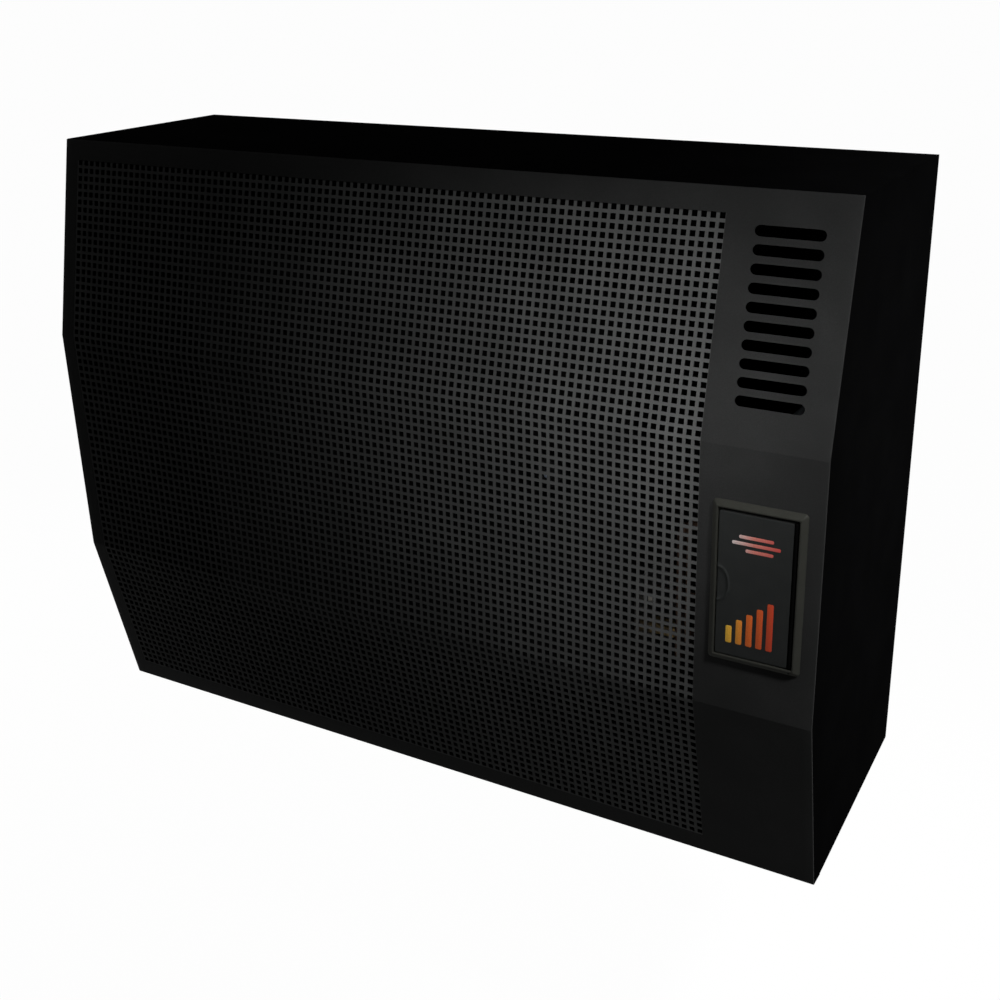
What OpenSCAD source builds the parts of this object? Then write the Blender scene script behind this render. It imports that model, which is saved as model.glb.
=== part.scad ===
// Wall mounted gas heater: a room sealed convector behind a bent, perforated front.
// X runs to the right as seen from the front, Y runs into the wall, Z runs up.
// The origin lies on the wall plane, at the centre of the heater's back.

/* [Casing] */
// Width across the side panels
case_w = 845; // [835:1:880]
// Height from the top panel to the front's lower edge
case_h = 632; // [622:1:660]
// Depth from the wall to the upright middle of the front
case_d = 270; // [266:1:290]
// Depth from the wall to the front's upper edge
top_d = 226; // [220:1:236]
// Depth from the wall to the front's lower edge
bottom_d = 230; // [224:1:240]
// Height of the front's upper, tilted part
upper_h = 200; // [190:1:206]
// Height of the front's upright middle part
middle_h = 244; // [238:1:256]
// Rise of the side panels' lower edges towards the wall
side_rise = 30; // [20:1:40]
// Thickness of the casing's sheet
sheet_t = 1.2; // [0.8:0.1:1.6]
// Width of the casing's folded flanges
flange_w = 14; // [11:1:15]
// Depth of the lip folded back under the front
lip_d = 18; // [16:1:24]
// Distance of the side screws from the casing's top and lower edge
side_screw_in = 66; // [50:2:90]
// Gap between assembled pieces at their seats
seat = 0.3; // [0.2:0.05:0.4]

/* [Front grille] */
// Distance between grille holes, each of which stands for a group of finer ones
grille_pitch = 30; // [26:1:40]
// Side of one square grille hole
grille_hole = 19; // [12:1:20]
// Margin left of the grille
grille_left = 19; // [17:1:30]
// Margin above the grille, along the sheet
grille_top = 21; // [18:1:30]
// Margin below the grille, along the sheet
grille_bottom = 23; // [20:1:30]
// Plain margin on each side of a bend
bend_margin = 6; // [4:1:10]
// Width of the plain strip right of the grille
strip_w = 109; // [107:1:114]
// Number of vent slots in the strip
slot_count = 10; // [4:1:11]
// Length of one vent slot
slot_l = 58.5; // [40:0.5:66]
// Height of one vent slot
slot_h = 9; // [5:0.5:11]
// Distance from one vent slot to the next
slot_pitch = 15; // [13:0.5:16]
// Distance from the front's upper edge to the first slot's middle
slot_first = 32.5; // [26:0.5:40]

/* [Control door] */
// Outer width of the door's frame
frame_w = 82; // [78:1:83]
// Outer height of the door's frame
frame_h = 146; // [142:1:152]
// Width of the frame's bars
frame_bar = 6; // [5.5:0.5:7]
// Height of the frame above the front
frame_proud = 5; // [4.5:0.5:6]
// Wall of the frame's skirt behind the sheet
skirt_t = 2; // [1.5:0.25:2.5]
// Depth of the frame's skirt
skirt_d = 8; // [6:0.5:10]
// Gap around the door
door_gap = 0.8; // [0.6:0.1:1]
// Thickness of the door
door_t = 2.4; // [2.2:0.1:2.8]
// Depth of the door's face below the frame's face
door_sink = 1.4; // [1.2:0.1:1.6]
// Radius of the door's hinge barrel
barrel_r = 2; // [1.8:0.1:2.1]
// Radius of the hinge pins
hinge_pin_r = 1; // [0.8:0.1:1.1]
// Length of a hinge pin inside the door
hinge_pin_l = 6; // [4:0.5:8]
// Height of the thumb notch
notch_h = 30; // [20:1:36]
// Reach of the thumb notch from the door's edge
notch_w = 10; // [7:0.5:12]
// Depth of the thumb notch
notch_d = 1.2; // [0.8:0.1:1.5]

/* [Gas controls] */
// Distance from the strip's middle to the control bracket
web_reach = 48; // [47:0.5:50]
// Width of the control plate right of the strip's middle
plate_reach = 46; // [44:0.5:48]
// Height of the control plate
plate_h = 156; // [152:1:164]
// Depth from the control plate to the gas valve
valve_setback = 28; // [27:0.5:30]
// Depth from the front's face to the control plate
plate_setback = 28; // [27:0.5:30]
// Thickness of the control plate and the brackets
bracket_t = 1.5; // [1.2:0.1:1.8]
// Height of the knob above the door's middle
knob_rise = 24; // [22:0.5:26]
// Radius of the gas knob
knob_r = 21; // [17:0.5:22]
// Length of the gas knob
knob_l = 18; // [16:0.5:19]
// Travel of the gas knob when it is pushed
knob_travel = 4; // [3:0.5:4.5]
// Radius of the valve's spindle
spindle_r = 4; // [3:0.25:4.5]
// Running clearance of the spindle
running = 0.08; // [0.05:0.01:0.1]
// Width of the gas valve
valve_w = 84; // [76:1:88]
// Height of the gas valve
valve_h = 80; // [76:1:82]
// Depth of the gas valve
valve_d = 68; // [62:1:74]
// Distance of the igniter below the door's middle
igniter_drop = 42; // [41:0.5:44]
// Radius of the igniter's barrel
igniter_r = 9; // [8:0.5:10]
// Length of the igniter behind the control plate
igniter_l = 60; // [56:1:64]
// Radius of the igniter's button
button_r = 6.2; // [5.5:0.1:6.6]
// Travel of the igniter's button
button_travel = 7; // [5:0.5:7.5]

/* [Combustion chamber] */
// Room between the chamber and the heat shield, for the gas pipes
service_gap = 100; // [94:1:104]
// Width of the combustion chamber
chamber_w = 500; // [480:2:516]
// Height of the combustion chamber
chamber_h = 390; // [380:2:400]
// Depth of the combustion chamber
chamber_d = 140; // [134:1:146]
// Gap from the wall to the chamber's back
chamber_gap = 48; // [44:1:52]
// Height of the chamber's middle
chamber_z = 5; // [-5:1:12]
// Thickness of the chamber's sheet
chamber_t = 1.5; // [1.2:0.1:2]
// Width of the rim around the chamber's open front
rim_w = 12; // [11:1:14]
// Thickness of the flat seals
seal_t = 2; // [1.5:0.25:2.5]
// Distance between the ribs on the chamber's cover
rib_pitch = 70; // [66:1:72]
// Radius of the ribs on the chamber's cover
rib_r = 5; // [3:0.5:6]
// Radius of the sight glass
sight_r = 20; // [16:0.5:21]
// Height of the sight glass
sight_z = 29; // [0:1:60]
// Radius of the burner tube
burner_r = 22; // [18:0.5:24]
// Height of the burner's middle above the chamber's floor
burner_rise = 40; // [38:0.5:42]
// Radius of one flame port
port_r = 1.6; // [1:0.1:2]
// Number of flame ports in a row
port_count = 24; // [12:1:28]

/* [Flue and air] */
// Bore radius of the exhaust spigot
flue_r = 50; // [48:0.5:52]
// Bore radius of the air collar
air_r = 75; // [72:0.5:78]
// Distance from the chamber's top to the flue's middle
flue_drop = 60; // [56:1:66]
// Wall of the flue and air tubes
flue_t = 1.5; // [1:0.1:2]
// Length of the air collar inside the back plate
collar_l = 20; // [14:1:26]
// Width of the air port into the chamber
air_port_w = 140; // [100:2:160]
// Height of the air port into the chamber
air_port_h = 40; // [30:1:42]

/* [Wall plate] */
// Thickness of the back plate
back_t = 1.5; // [1.2:0.1:2]
// Distance across between the wall screws
wall_screws_x = 700; // [692:2:716]
// Distance down between the wall screws
wall_screws_z = 440; // [420:2:450]
// Radius of the wall screw holes
wall_hole_r = 4.5; // [3.5:0.25:5]

/* [Gas pipes] */
// Height of the gas inlet's end above the casing's lower edge
inlet_rise = 26; // [25:0.5:32]
// Outer radius of the gas inlet's thread
inlet_thread_r = 10.48; // [8.3:0.01:13.2]
// Length of the gas inlet's thread
inlet_thread_l = 16; // [12:1:18]
// Outer radius of the inlet pipe
inlet_pipe_r = 7.5; // [6:0.25:8]
// Outer radius of the burner's supply pipe
supply_r = 5; // [4:0.25:5.5]
// Wall of the gas pipes
pipe_wall = 1; // [0.6:0.1:1.5]
// Radius of the pilot's pipe
pilot_pipe_r = 2; // [1.5:0.1:2.5]
// Radius of the thermocouple's and the igniter's leads
lead_r = 1.5; // [1:0.1:1.8]
// Radius of the thermostat's bulb
bulb_r = 4; // [3:0.25:4.5]
// Length of the thermostat's bulb
bulb_l = 90; // [70:1:95]

/* [Hidden] */
$fn = 48;
cut = 0.5;              // how far a cutting shape runs past a face
black = [0.09, 0.09, 0.1];
plated = [0.62, 0.63, 0.65];
enamel = [0.16, 0.16, 0.17];
brass = [0.76, 0.6, 0.3];
copper = [0.72, 0.42, 0.26];
ceramic = [0.9, 0.88, 0.82];
seal_grey = [0.55, 0.53, 0.5];

// Casing
half_w = case_w / 2;
top_z = case_h / 2;
bottom_z = -case_h / 2;
bend_hi = top_z - upper_h;
bend_lo = bend_hi - middle_h;
tilt_hi = atan((case_d - top_d) / upper_h);
tilt_lo = atan((case_d - bottom_d) / (bend_lo - bottom_z));
inner_x = half_w - sheet_t - seat;
grille_x = [-half_w + grille_left, half_w - strip_w];
strip_x = half_w - strip_w / 2;
upper_l = upper_h / cos(tilt_hi);
lower_l = (bend_lo - bottom_z) / cos(tilt_lo);
screw_r = 2;
screw_l = 6;
screw_head = 2;
screw_play = 0.1;
side_screw_y = -back_t - flange_w / 2;
side_screw_z = top_z - side_screw_in;
lip_screw_x = half_w - flange_w;
tab_w = flange_w + 10;
flange_gap = 4;
floor_gap = 1;
lip_screw_y = -bottom_d + lip_d * 0.6;
// Levels above the lip: the side panels' bottom flanges, then the bottom panel
tab_z = bottom_z + sheet_t + seat;
floor_z = tab_z + sheet_t + seat;
floor_slope = (side_rise - sheet_t - seat) / (bottom_d - lip_d);

// Control door
door_z = (bend_hi + bend_lo) / 2;
opening_w = frame_w - 2 * frame_bar;
opening_h = frame_h - 2 * frame_bar;
frame_y = -case_d - frame_proud;
door_y = [frame_y + door_sink, frame_y + door_sink + door_t];
door_x = [strip_x - opening_w / 2 + door_gap, strip_x + opening_w / 2 - door_gap];
door_zs = [door_z - opening_h / 2 + door_gap, door_z + opening_h / 2 - door_gap];
hinge_x = door_x[1] - barrel_r;
hinge_y = (door_y[0] + door_y[1]) / 2;
hinge_hold = frame_bar - 2;
striker_t = 0.4;
striker_x = [door_x[0] + 0.4, door_x[0] + 5];
catch_h = 12;
catch_w = 4;

// Gas controls
control_y = -case_d + plate_setback;
web_x = strip_x - web_reach;
plate_x = [web_x - bracket_t, strip_x + plate_reach];
plate_zs = [door_z - plate_h / 2, door_z + plate_h / 2];
press_gap = 1;
knob_z = door_z + knob_rise;
igniter_z = door_z - igniter_drop;
knob_y = control_y - knob_travel - press_gap;
knob_skirt = 5;
knob_waist = 4;
knob_face_t = 7;
flute_r = 2;
flute_at = knob_r - 3;
flute_turn = 24;
pointer_w = 2;
pointer_rise = 0.8;
pointer_z = [knob_z + 4, knob_z + knob_r - 6];
valve_y = [control_y + valve_setback, control_y + valve_setback + valve_d];
valve_zs = [knob_z - valve_h / 2, knob_z + valve_h / 2];
valve_outlet = [valve_y[0] + valve_d / 2, knob_z - valve_h / 4];
pilot_outlet = [valve_y[0] + 16, knob_z - 6];
bonnet_r = 14;
bonnet_l = 14;
pocket_r = 8.5;
pocket_l = 12;
collar_t = 2;
collar_sink = 0.5;
collar_y = valve_y[0] - bonnet_l + collar_sink;
spring_wire = 0.5;
spring_play = 0.1;
spindle_tip = knob_y - knob_l + knob_face_t;
spindle_end = valve_y[0] + 12;
spindle_ring = 1.5;
piezo_y = control_y + igniter_l;
piezo_rim = [3, 2];
button_end = control_y + 28;
bore_end = piezo_y - 6;
cap_t = 3;
cap_y = control_y - piezo_rim[1] - button_travel - press_gap;
plate_screw = [web_x + 5, plate_h / 2 - 10];

// Heat shield, at the left of the control compartment
shield_x = half_w - strip_w - 8.5;
shield_t = 1;
shield_zs = [-top_z + 76, top_z - 76];
shield_foot = 16;
shield_front = -case_d + 45;
shield_screw_zs = [shield_zs[0] + 40, shield_zs[1] - 40];
pipe_room = 3;
lead_room = 2;

// Combustion chamber
ch_x = [shield_x - service_gap - chamber_w, shield_x - service_gap];
ch_mid = (ch_x[0] + ch_x[1]) / 2;
ch_y = [-chamber_gap - chamber_d, -chamber_gap];
ch_z = [chamber_z - chamber_h / 2, chamber_z + chamber_h / 2];
cover_y = ch_y[0] - seal_t - chamber_t;
sight_x = ch_mid + 2.5 * rib_pitch;
sight_y = cover_y - 1;
glass_t = 3;
glass_lap = 4;
frame_face = 2;
bolt_r = 2.4;
bolt_head_r = 4.6;
bolt_head_l = 4;
burner_z = ch_z[0] + burner_rise;
burner_y = (ch_y[0] + ch_y[1]) / 2;
burner_in = [35, 20];
burner_x = [ch_x[0] + burner_in[0], ch_x[1] - burner_in[1]];
burner_t = 1.5;
port_rows = 12;
port_in = [20, 60];
port_x = [burner_x[0] + port_in[0], burner_x[1] - port_in[1]];
saddle_in = [60, 90];
saddle_x = [burner_x[0] + saddle_in[0], burner_x[1] - saddle_in[1]];
saddle_t = 3;
saddle_side = 6;
flue_z = ch_z[1] - flue_drop;
spigot_end = -collar_l - 2;
duct_half = air_r + 20;
duct_t = 1;
duct_z = [ch_z[0] + 4, flue_z + duct_half];
duct_y = -chamber_gap + seal_t;
air_port_x = [ch_mid - air_port_w / 2, ch_mid + air_port_w / 2];
air_port_z = [ch_z[0] + 10, ch_z[0] + 10 + air_port_h];
duct_flange = 10;
duct_seal = [8, 5];
spigot_flange = 10;
collar_flange = 13;
baffle_front = 30;
baffle_z = flue_z - flue_r - 14;
deflector_t = 1;
deflector_z = [duct_z[1] + duct_flange + flange_gap, top_z - flange_w - flange_gap];
deflector_x = [-inner_x + 40, shield_x - 6];
deflector_front = -top_d + 22;
service_half = 38;
service_y = [burner_y - service_half, burner_y + service_half];
service_rise = [14, 98];
service_z = [ch_z[0] + service_rise[0], ch_z[0] + service_rise[1]];
flange_out = 8;
flange_x = ch_x[1] + 2;

// Pilot group, in a plate just inside the chamber's right wall
pilot_x = ch_x[1] - 17;
pilot_at = [burner_y + 18, burner_z + 32];
thermo_at = [burner_y, burner_z + 44];
spark_at = [burner_y - 18, burner_z + 38];
pilot_plate = [burner_z + 24, burner_z + 52];
plate_side = 12;
pilot_r = 5;
pilot_neck_r = 3.5;
pilot_l = 10;
pilot_nut = 7;
probe_r = 2.5;
probe_l = 24;
probe_nut = 5;
electrode_r = 1.2;
insulator_r = 3.5;
nozzle_r = 5;
nozzle_x = burner_x[1] + 3;

// Pipe and lead routes between the control compartment and the chamber
lead_bend = 8;
supply_bend = 14;
inlet_bend = 30;
nut_side = 4;
nut_t = 4;
nut_l = 10;
supply_x = shield_x - 43;
pilot_run_x = shield_x - 29;
thermo_run_x = shield_x - 21;
spark_run_x = shield_x - 13;
injector_x = flange_x + 25;
magnet_at = [web_x + 14, valve_y[1] - 14];
magnet_l = 22;
magnet_r = 8;
thermo_level = valve_zs[0] - 48;
supply_route = [
    [web_x, valve_outlet[0], valve_outlet[1]], [supply_x, valve_outlet[0], valve_outlet[1]],
    [supply_x, valve_outlet[0], burner_z], [supply_x, burner_y, burner_z],
    [injector_x, burner_y, burner_z]];
pilot_route = [
    [web_x, pilot_outlet[0], pilot_outlet[1]], [pilot_run_x, pilot_outlet[0], pilot_outlet[1]],
    [pilot_run_x, pilot_outlet[0], pilot_at[1]], [pilot_run_x, pilot_at[0], pilot_at[1]],
    [pilot_x + pilot_nut, pilot_at[0], pilot_at[1]]];
thermo_route = [
    [magnet_at[0], magnet_at[1], valve_zs[0] - magnet_l],
    [magnet_at[0], magnet_at[1], thermo_level], [thermo_run_x, magnet_at[1], thermo_level],
    [thermo_run_x, magnet_at[1], thermo_at[1]], [thermo_run_x, thermo_at[0], thermo_at[1]],
    [pilot_x + probe_nut, thermo_at[0], thermo_at[1]]];
spark_end = ch_x[1] + 10;
spark_route = [
    [strip_x, piezo_y, igniter_z], [strip_x, spark_at[0], igniter_z],
    [spark_run_x, spark_at[0], igniter_z], [spark_run_x, spark_at[0], spark_at[1]],
    [spark_end, spark_at[0], spark_at[1]]];
bulb_gap = 2.5;
bulb_back = 34;
bulb_at = [shield_x + shield_t + bulb_r + bulb_gap, valve_y[0] + bulb_back];
capillary_r = 1;
capillary_drop = 16;
capillary_level = plate_zs[0] - capillary_drop;
bulb_drop = 40;
bulb_top = capillary_level - bulb_drop;
clip_l = 12;
clip_t = 1.2;
clip_zs = [bulb_top - bulb_l + 10, bulb_top - clip_l - 10];
capillary_in = [26, 8];
capillary_at = [web_x + capillary_in[0], valve_y[0] + capillary_in[1]];
capillary_route = [
    [capillary_at[0], capillary_at[1], valve_zs[0]],
    [capillary_at[0], capillary_at[1], capillary_level],
    [capillary_at[0], bulb_at[1], capillary_level], [bulb_at[0], bulb_at[1], capillary_level],
    [bulb_at[0], bulb_at[1], bulb_top]];
inlet_at = [web_x + 59, valve_y[1] - 19];
inlet_y = -60;
inlet_hex_l = 12;
inlet_end = bottom_z + inlet_rise + inlet_thread_l + inlet_hex_l;
inlet_zs = [inlet_end, (inlet_end + valve_zs[0]) / 2];
inlet_route = [
    [inlet_at[0], inlet_at[1], valve_zs[0]], [inlet_at[0], inlet_at[1], inlet_zs[1]],
    [inlet_at[0], inlet_y, inlet_zs[1]], [inlet_at[0], inlet_y, inlet_zs[0]]];
union_room = 8;
clamp_z = inlet_zs[0] + 30;
clamp_side = 4;
clamp_foot = 20;

// Chamber brackets: feet on the back plate and on the chamber's back
bracket_in = [50, 45];
bracket_x = chamber_w / 2 - bracket_in[0];
bracket_z = chamber_h / 2 - bracket_in[1];
bracket_h = 40;
bracket_foot = 22;
foot_y = -back_t - bracket_t;
web_foot = 22.5;
web_screw_z = 60;
chassis_points = concat(
    [for (sx = [-1, 1], sz = [-1, 1])
        [ch_mid + sx * (bracket_x + bracket_foot / 2 + bracket_t), chamber_z + sz * bracket_z]],
    [for (sz = [-1, 1]) [web_x + web_foot / 2 + bracket_t / 2, door_z + sz * web_screw_z]],
    [for (z = shield_screw_zs) [shield_x - shield_foot / 2, z]]);

function unit(v) = v / norm(v);
function reversed(list) = [for (i = [len(list) - 1:-1:0]) list[i]];
function front_y(z) = z > bend_hi ? -case_d + (z - bend_hi) * tan(tilt_hi)
    : z < bend_lo ? -case_d + (bend_lo - z) * tan(tilt_lo) : -case_d;
// The front's line in Y and Z, moved inwards by d, between two heights
function front_line(d, z_hi, z_lo) = [
    [front_y(z_hi) + d / cos(tilt_hi), z_hi], [-case_d + d, bend_hi - d * tan(tilt_hi / 2)],
    [-case_d + d, bend_lo + d * tan(tilt_lo / 2)], [front_y(z_lo) + d / cos(tilt_lo), z_lo]];
function turn(a, b, c) = acos(unit(b - a) * unit(c - b));
function bend_trim(points, i, bend) = i <= 0 || i >= len(points) - 1 ? 0
    : bend * tan(turn(points[i - 1], points[i], points[i + 1]) / 2);

module block(x, y, z) translate([x[0], y[0], z[0]]) cube([x[1] - x[0], y[1] - y[0], z[1] - z[0]]);
module along_x(x1, x2) translate([x1, 0, 0]) rotate([90, 0, 90]) linear_extrude(x2 - x1) children();
module along_y(y1, y2) translate([0, y2, 0]) rotate([90, 0, 0]) linear_extrude(y2 - y1) children();
module along_z(z1, z2) translate([0, 0, z1]) linear_extrude(z2 - z1) children();
module bar_x(x1, x2, y, z, r) translate([x1, y, z]) rotate([0, 90, 0]) cylinder(r = r, h = x2 - x1);
module bar_y(y1, y2, x, z, r) translate([x, y1, z]) rotate([-90, 0, 0]) cylinder(r = r, h = y2 - y1);
module bar_z(z1, z2, x, y, r) translate([x, y, z1]) cylinder(r = r, h = z2 - z1);
module hex_x(x1, x2, y, z, r) translate([x1, y, z]) rotate([0, 90, 0])
    cylinder(r = r, h = x2 - x1, $fn = 6);
module hex_y(y1, y2, x, z, r) translate([x, y1, z]) rotate([-90, 0, 0])
    cylinder(r = r, h = y2 - y1, $fn = 6);

// A band of sheet that follows the front between the depths d1 and d2
module front_band(x, d1, d2, z_hi, z_lo) along_x(x[0], x[1])
    polygon(concat(front_line(d1, z_hi, z_lo), reversed(front_line(d2, z_hi, z_lo))));

// Places children on one part of the front, at x and at the distance s along the sheet from
// the front's upper edge, with the sheet's outward side towards -Y
module on_front(x, s) {
    if (s < upper_l)
        translate([x, -top_d - s * sin(tilt_hi), top_z - s * cos(tilt_hi)])
            rotate([-tilt_hi, 0, 0]) children();
    else if (s < upper_l + middle_h)
        translate([x, -case_d, bend_hi - (s - upper_l)]) children();
    else
        translate([x, -case_d + (s - upper_l - middle_h) * sin(tilt_lo),
            bend_lo - (s - upper_l - middle_h) * cos(tilt_lo)]) rotate([tilt_lo, 0, 0]) children();
}

// A flat end slot, rounded by an arc of short sides at both ends
module slot_shape(l, h) polygon([for (side = [1, -1], k = [0:10])
    let (a = -90 + 18 * k) side * [(l - h) / 2 + h / 2 * cos(a), h / 2 * sin(a)]]);

// Holes between two distances along the sheet, in rows that fill the space evenly
module grille_rows(s_from, s_to) {
    bridge = grille_pitch - grille_hole;
    rows = round((s_to - s_from + bridge) / grille_pitch);
    columns = round((grille_x[1] - grille_x[0] + bridge) / grille_pitch);
    row_step = (s_to - s_from - grille_hole) / (rows - 1);
    column_step = (grille_x[1] - grille_x[0] - grille_hole) / (columns - 1);
    for (row = [0:rows - 1], column = [0:columns - 1])
        on_front(grille_x[0] + grille_hole / 2 + column * column_step,
            s_from + grille_hole / 2 + row * row_step)
            cube([grille_hole, 4 * sheet_t, grille_hole], center = true);
}

// A screw whose conical head is flush with a sheet, pointing along +Z from the sheet's face
module sunk_screw() {
    cylinder(r1 = 2 * screw_r, r2 = screw_r, h = sheet_t);
    translate([0, 0, sheet_t]) cylinder(r = screw_r, h = screw_l - sheet_t);
}
module sunk_hole() {
    translate([0, 0, -cut]) cylinder(r = 2 * (screw_r + screw_play), h = cut);
    cylinder(r1 = 2 * (screw_r + screw_play), r2 = screw_r + 2 * screw_play, h = sheet_t);
    cylinder(r = screw_r + 2 * screw_play, h = screw_l + cut);
}
module side_screws_at() for (side = [-1, 1], up = [-1, 1])
    translate([side * half_w, side_screw_y, up * side_screw_z]) rotate([0, -side * 90, 0]) children();
module lip_screws_at() for (side = [-1, 1])
    translate([side * lip_screw_x, lip_screw_y, bottom_z]) children();

// A round pipe along points, with bends of one radius; a solid rod where no wall is given
module pipe_section(r, wall) difference() {
    circle(r = r);
    if (!is_undef(wall)) circle(r = r - wall);
}
module pipe_run(points, r, bend, wall) {
    for (i = [0:len(points) - 2]) {
        u = unit(points[i + 1] - points[i]);
        straight = norm(points[i + 1] - points[i]) - bend_trim(points, i, bend)
            - bend_trim(points, i + 1, bend);
        translate(points[i] + u * bend_trim(points, i, bend))
            rotate([0, acos(u[2]), atan2(u[1], u[0])]) linear_extrude(straight) pipe_section(r, wall);
    }
    if (len(points) > 2) for (i = [1:len(points) - 2]) {
        u = unit(points[i] - points[i - 1]);
        v = unit(points[i + 1] - points[i]);
        w = unit(v - u * (u * v));
        n = cross(u, w);
        c = points[i] - u * bend_trim(points, i, bend) + w * bend;
        multmatrix([[-w[0], u[0], n[0], c[0]], [-w[1], u[1], n[1], c[1]],
            [-w[2], u[2], n[2], c[2]], [0, 0, 0, 1]])
            rotate_extrude(angle = turn(points[i - 1], points[i], points[i + 1]))
                translate([bend, 0]) pipe_section(r, wall);
    }
}

// A helical spring along +Z between two heights, of a round wire
module coil_spring(r, wire, l, turns) {
    sides = 6;
    steps = 8 * turns;
    lead = (l - 2 * wire) / steps;
    points = [for (i = [0:steps], k = [0:sides - 1])
        let (a = 45 * i, b = 360 * k / sides, out = r + wire * cos(b))
            [out * cos(a), out * sin(a), wire + i * lead + wire * sin(b)]];
    faces = concat([[for (k = [sides - 1:-1:0]) k]], [[for (k = [0:sides - 1]) steps * sides + k]],
        [for (i = [0:steps - 1], k = [0:sides - 1]) let (m = (k + 1) % sides)
            [i * sides + k, i * sides + m, (i + 1) * sides + m]],
        [for (i = [0:steps - 1], k = [0:sides - 1]) let (m = (k + 1) % sides)
            [i * sides + k, (i + 1) * sides + m, (i + 1) * sides + k]]);
    polyhedron(points, [for (f = faces) reversed(f)]);
}

module front_panel() color(black) difference() {
    along_x(-half_w, half_w) polygon(concat(
        front_line(0, top_z, bottom_z),
        [[-bottom_d + lip_d, bottom_z], [-bottom_d + lip_d, bottom_z + sheet_t]],
        reversed(front_line(sheet_t, top_z, bottom_z + sheet_t))));
    grille_rows(grille_top, upper_l - bend_margin);
    grille_rows(upper_l + bend_margin, upper_l + middle_h - bend_margin);
    grille_rows(upper_l + middle_h + bend_margin, upper_l + middle_h + lower_l - grille_bottom);
    for (i = [0:slot_count - 1]) on_front(strip_x, slot_first + i * slot_pitch)
        along_y(-2 * sheet_t, 2 * sheet_t) slot_shape(slot_l, slot_h);
    block([strip_x - opening_w / 2 - skirt_t - seat, strip_x + opening_w / 2 + skirt_t + seat],
        [-case_d - cut, -case_d + sheet_t + cut],
        [door_z - opening_h / 2 - skirt_t - seat, door_z + opening_h / 2 + skirt_t + seat]);
    lip_screws_at() sunk_hole();
}

module top_panel() color(black) {
    front = front_y(top_z) + (sheet_t + seat) / cos(tilt_hi);
    block([-inner_x, inner_x], [front, 0], [top_z - sheet_t, top_z]);
    for (side = [-1, 1]) translate([side * (inner_x - sheet_t / 2), 0, 0])
        block([-sheet_t / 2, sheet_t / 2], [front + 2 * flange_w, -back_t - flange_w - flange_gap],
            [top_z - flange_w, top_z]);
    along_x(-inner_x + flange_w + 2, inner_x - flange_w - 2) polygon([
        [front, top_z], [front + sheet_t / cos(tilt_hi), top_z],
        [front + sheet_t / cos(tilt_hi) - flange_w * tan(tilt_hi), top_z - flange_w],
        [front - flange_w * tan(tilt_hi), top_z - flange_w]]);
}

// A sheet over the casing's underside: level above the lip, then rising to the wall
function floor_line(z, y_front, y_rear) = [[y_front, z], [-bottom_d + lip_d, z],
    [y_rear, z + (y_rear + bottom_d - lip_d) * floor_slope]];

module bottom_panel() color(black) {
    half = inner_x - back_t - floor_gap;
    front = front_y(floor_z) + (2 * sheet_t + 2 * seat) / cos(tilt_lo);
    rear_z = floor_line(floor_z, front, -back_t)[2][1];
    difference() {
        union() {
            along_x(-half, half) polygon(concat(floor_line(floor_z, front, -back_t),
                reversed(floor_line(floor_z + sheet_t, front, -back_t))));
            block([-half, half], [-back_t - sheet_t, -back_t], [rear_z, rear_z + flange_w]);
        }
        lip_screws_at() sunk_hole();
        bar_z(bottom_z, bottom_z + side_rise, inlet_at[0], inlet_y, inlet_thread_r + union_room);
    }
}

module side_panel() {
    line = front_line(sheet_t + seat, top_z, tab_z);
    flange_end = -back_t - flange_w - flange_gap;
    difference() {
        union() {
            along_x(half_w - sheet_t, half_w) polygon(concat([[0, top_z]], line,
                [[-bottom_d + lip_d, tab_z], [0, bottom_z + side_rise]]));
            front_band([half_w - sheet_t - flange_w, half_w], sheet_t + seat, 2 * sheet_t + seat,
                top_z - sheet_t - seat, tab_z);
            along_x(half_w - tab_w, half_w) polygon(concat(
                floor_line(tab_z, line[3][0] + 1, flange_end),
                reversed(floor_line(tab_z + sheet_t, line[3][0] + 1, flange_end))));
        }
        side_screws_at() sunk_hole();
        lip_screws_at() sunk_hole();
    }
}
module side_panel_right() color(black) side_panel();
module side_panel_left() color(black) mirror([1, 0, 0]) side_panel();

module casing_screws() color(black) {
    side_screws_at() sunk_screw();
    lip_screws_at() sunk_screw();
}

module back_plate() color(plated) {
    top = top_z - sheet_t - seat;
    low = bottom_z + side_rise + 2 * (sheet_t + seat) + 2 * seat;
    difference() {
        union() {
            block([-inner_x, inner_x], [-back_t, 0], [low, top]);
            block([-inner_x, inner_x], [-back_t - flange_w, -back_t], [top - back_t, top]);
            for (side = [-1, 1]) translate([side * (inner_x - back_t / 2), 0, 0])
                block([-back_t / 2, back_t / 2], [-back_t - flange_w, -back_t], [low, top - back_t]);
        }
        for (sx = [-1, 1], sz = [-1, 1])
            bar_y(-back_t - cut, cut, sx * wall_screws_x / 2, sz * wall_screws_z / 2, wall_hole_r);
        bar_y(-back_t - cut, cut, ch_mid, flue_z, air_r + flue_t + seat);
        for (p = chassis_points) bar_y(-back_t - cut, cut, p[0], p[1], screw_r + screw_play);
        side_screws_at() sunk_hole();
    }
}

module chassis_screws() color(plated) for (p = chassis_points) {
    bar_y(foot_y - screw_head, foot_y, p[0], p[1], 2 * screw_r);
    bar_y(foot_y, 0, p[0], p[1], screw_r);
}

module air_deflector() color(plated) {
    rear = -back_t - deflector_t;
    along_x(deflector_x[0], deflector_x[1]) polygon([
        [-back_t, deflector_z[0]], [-back_t, deflector_z[0] + flange_w + deflector_t],
        [deflector_front, deflector_z[1] + deflector_t], [deflector_front, deflector_z[1]],
        [rear, deflector_z[0] + flange_w], [rear, deflector_z[0]]]);
}

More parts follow.
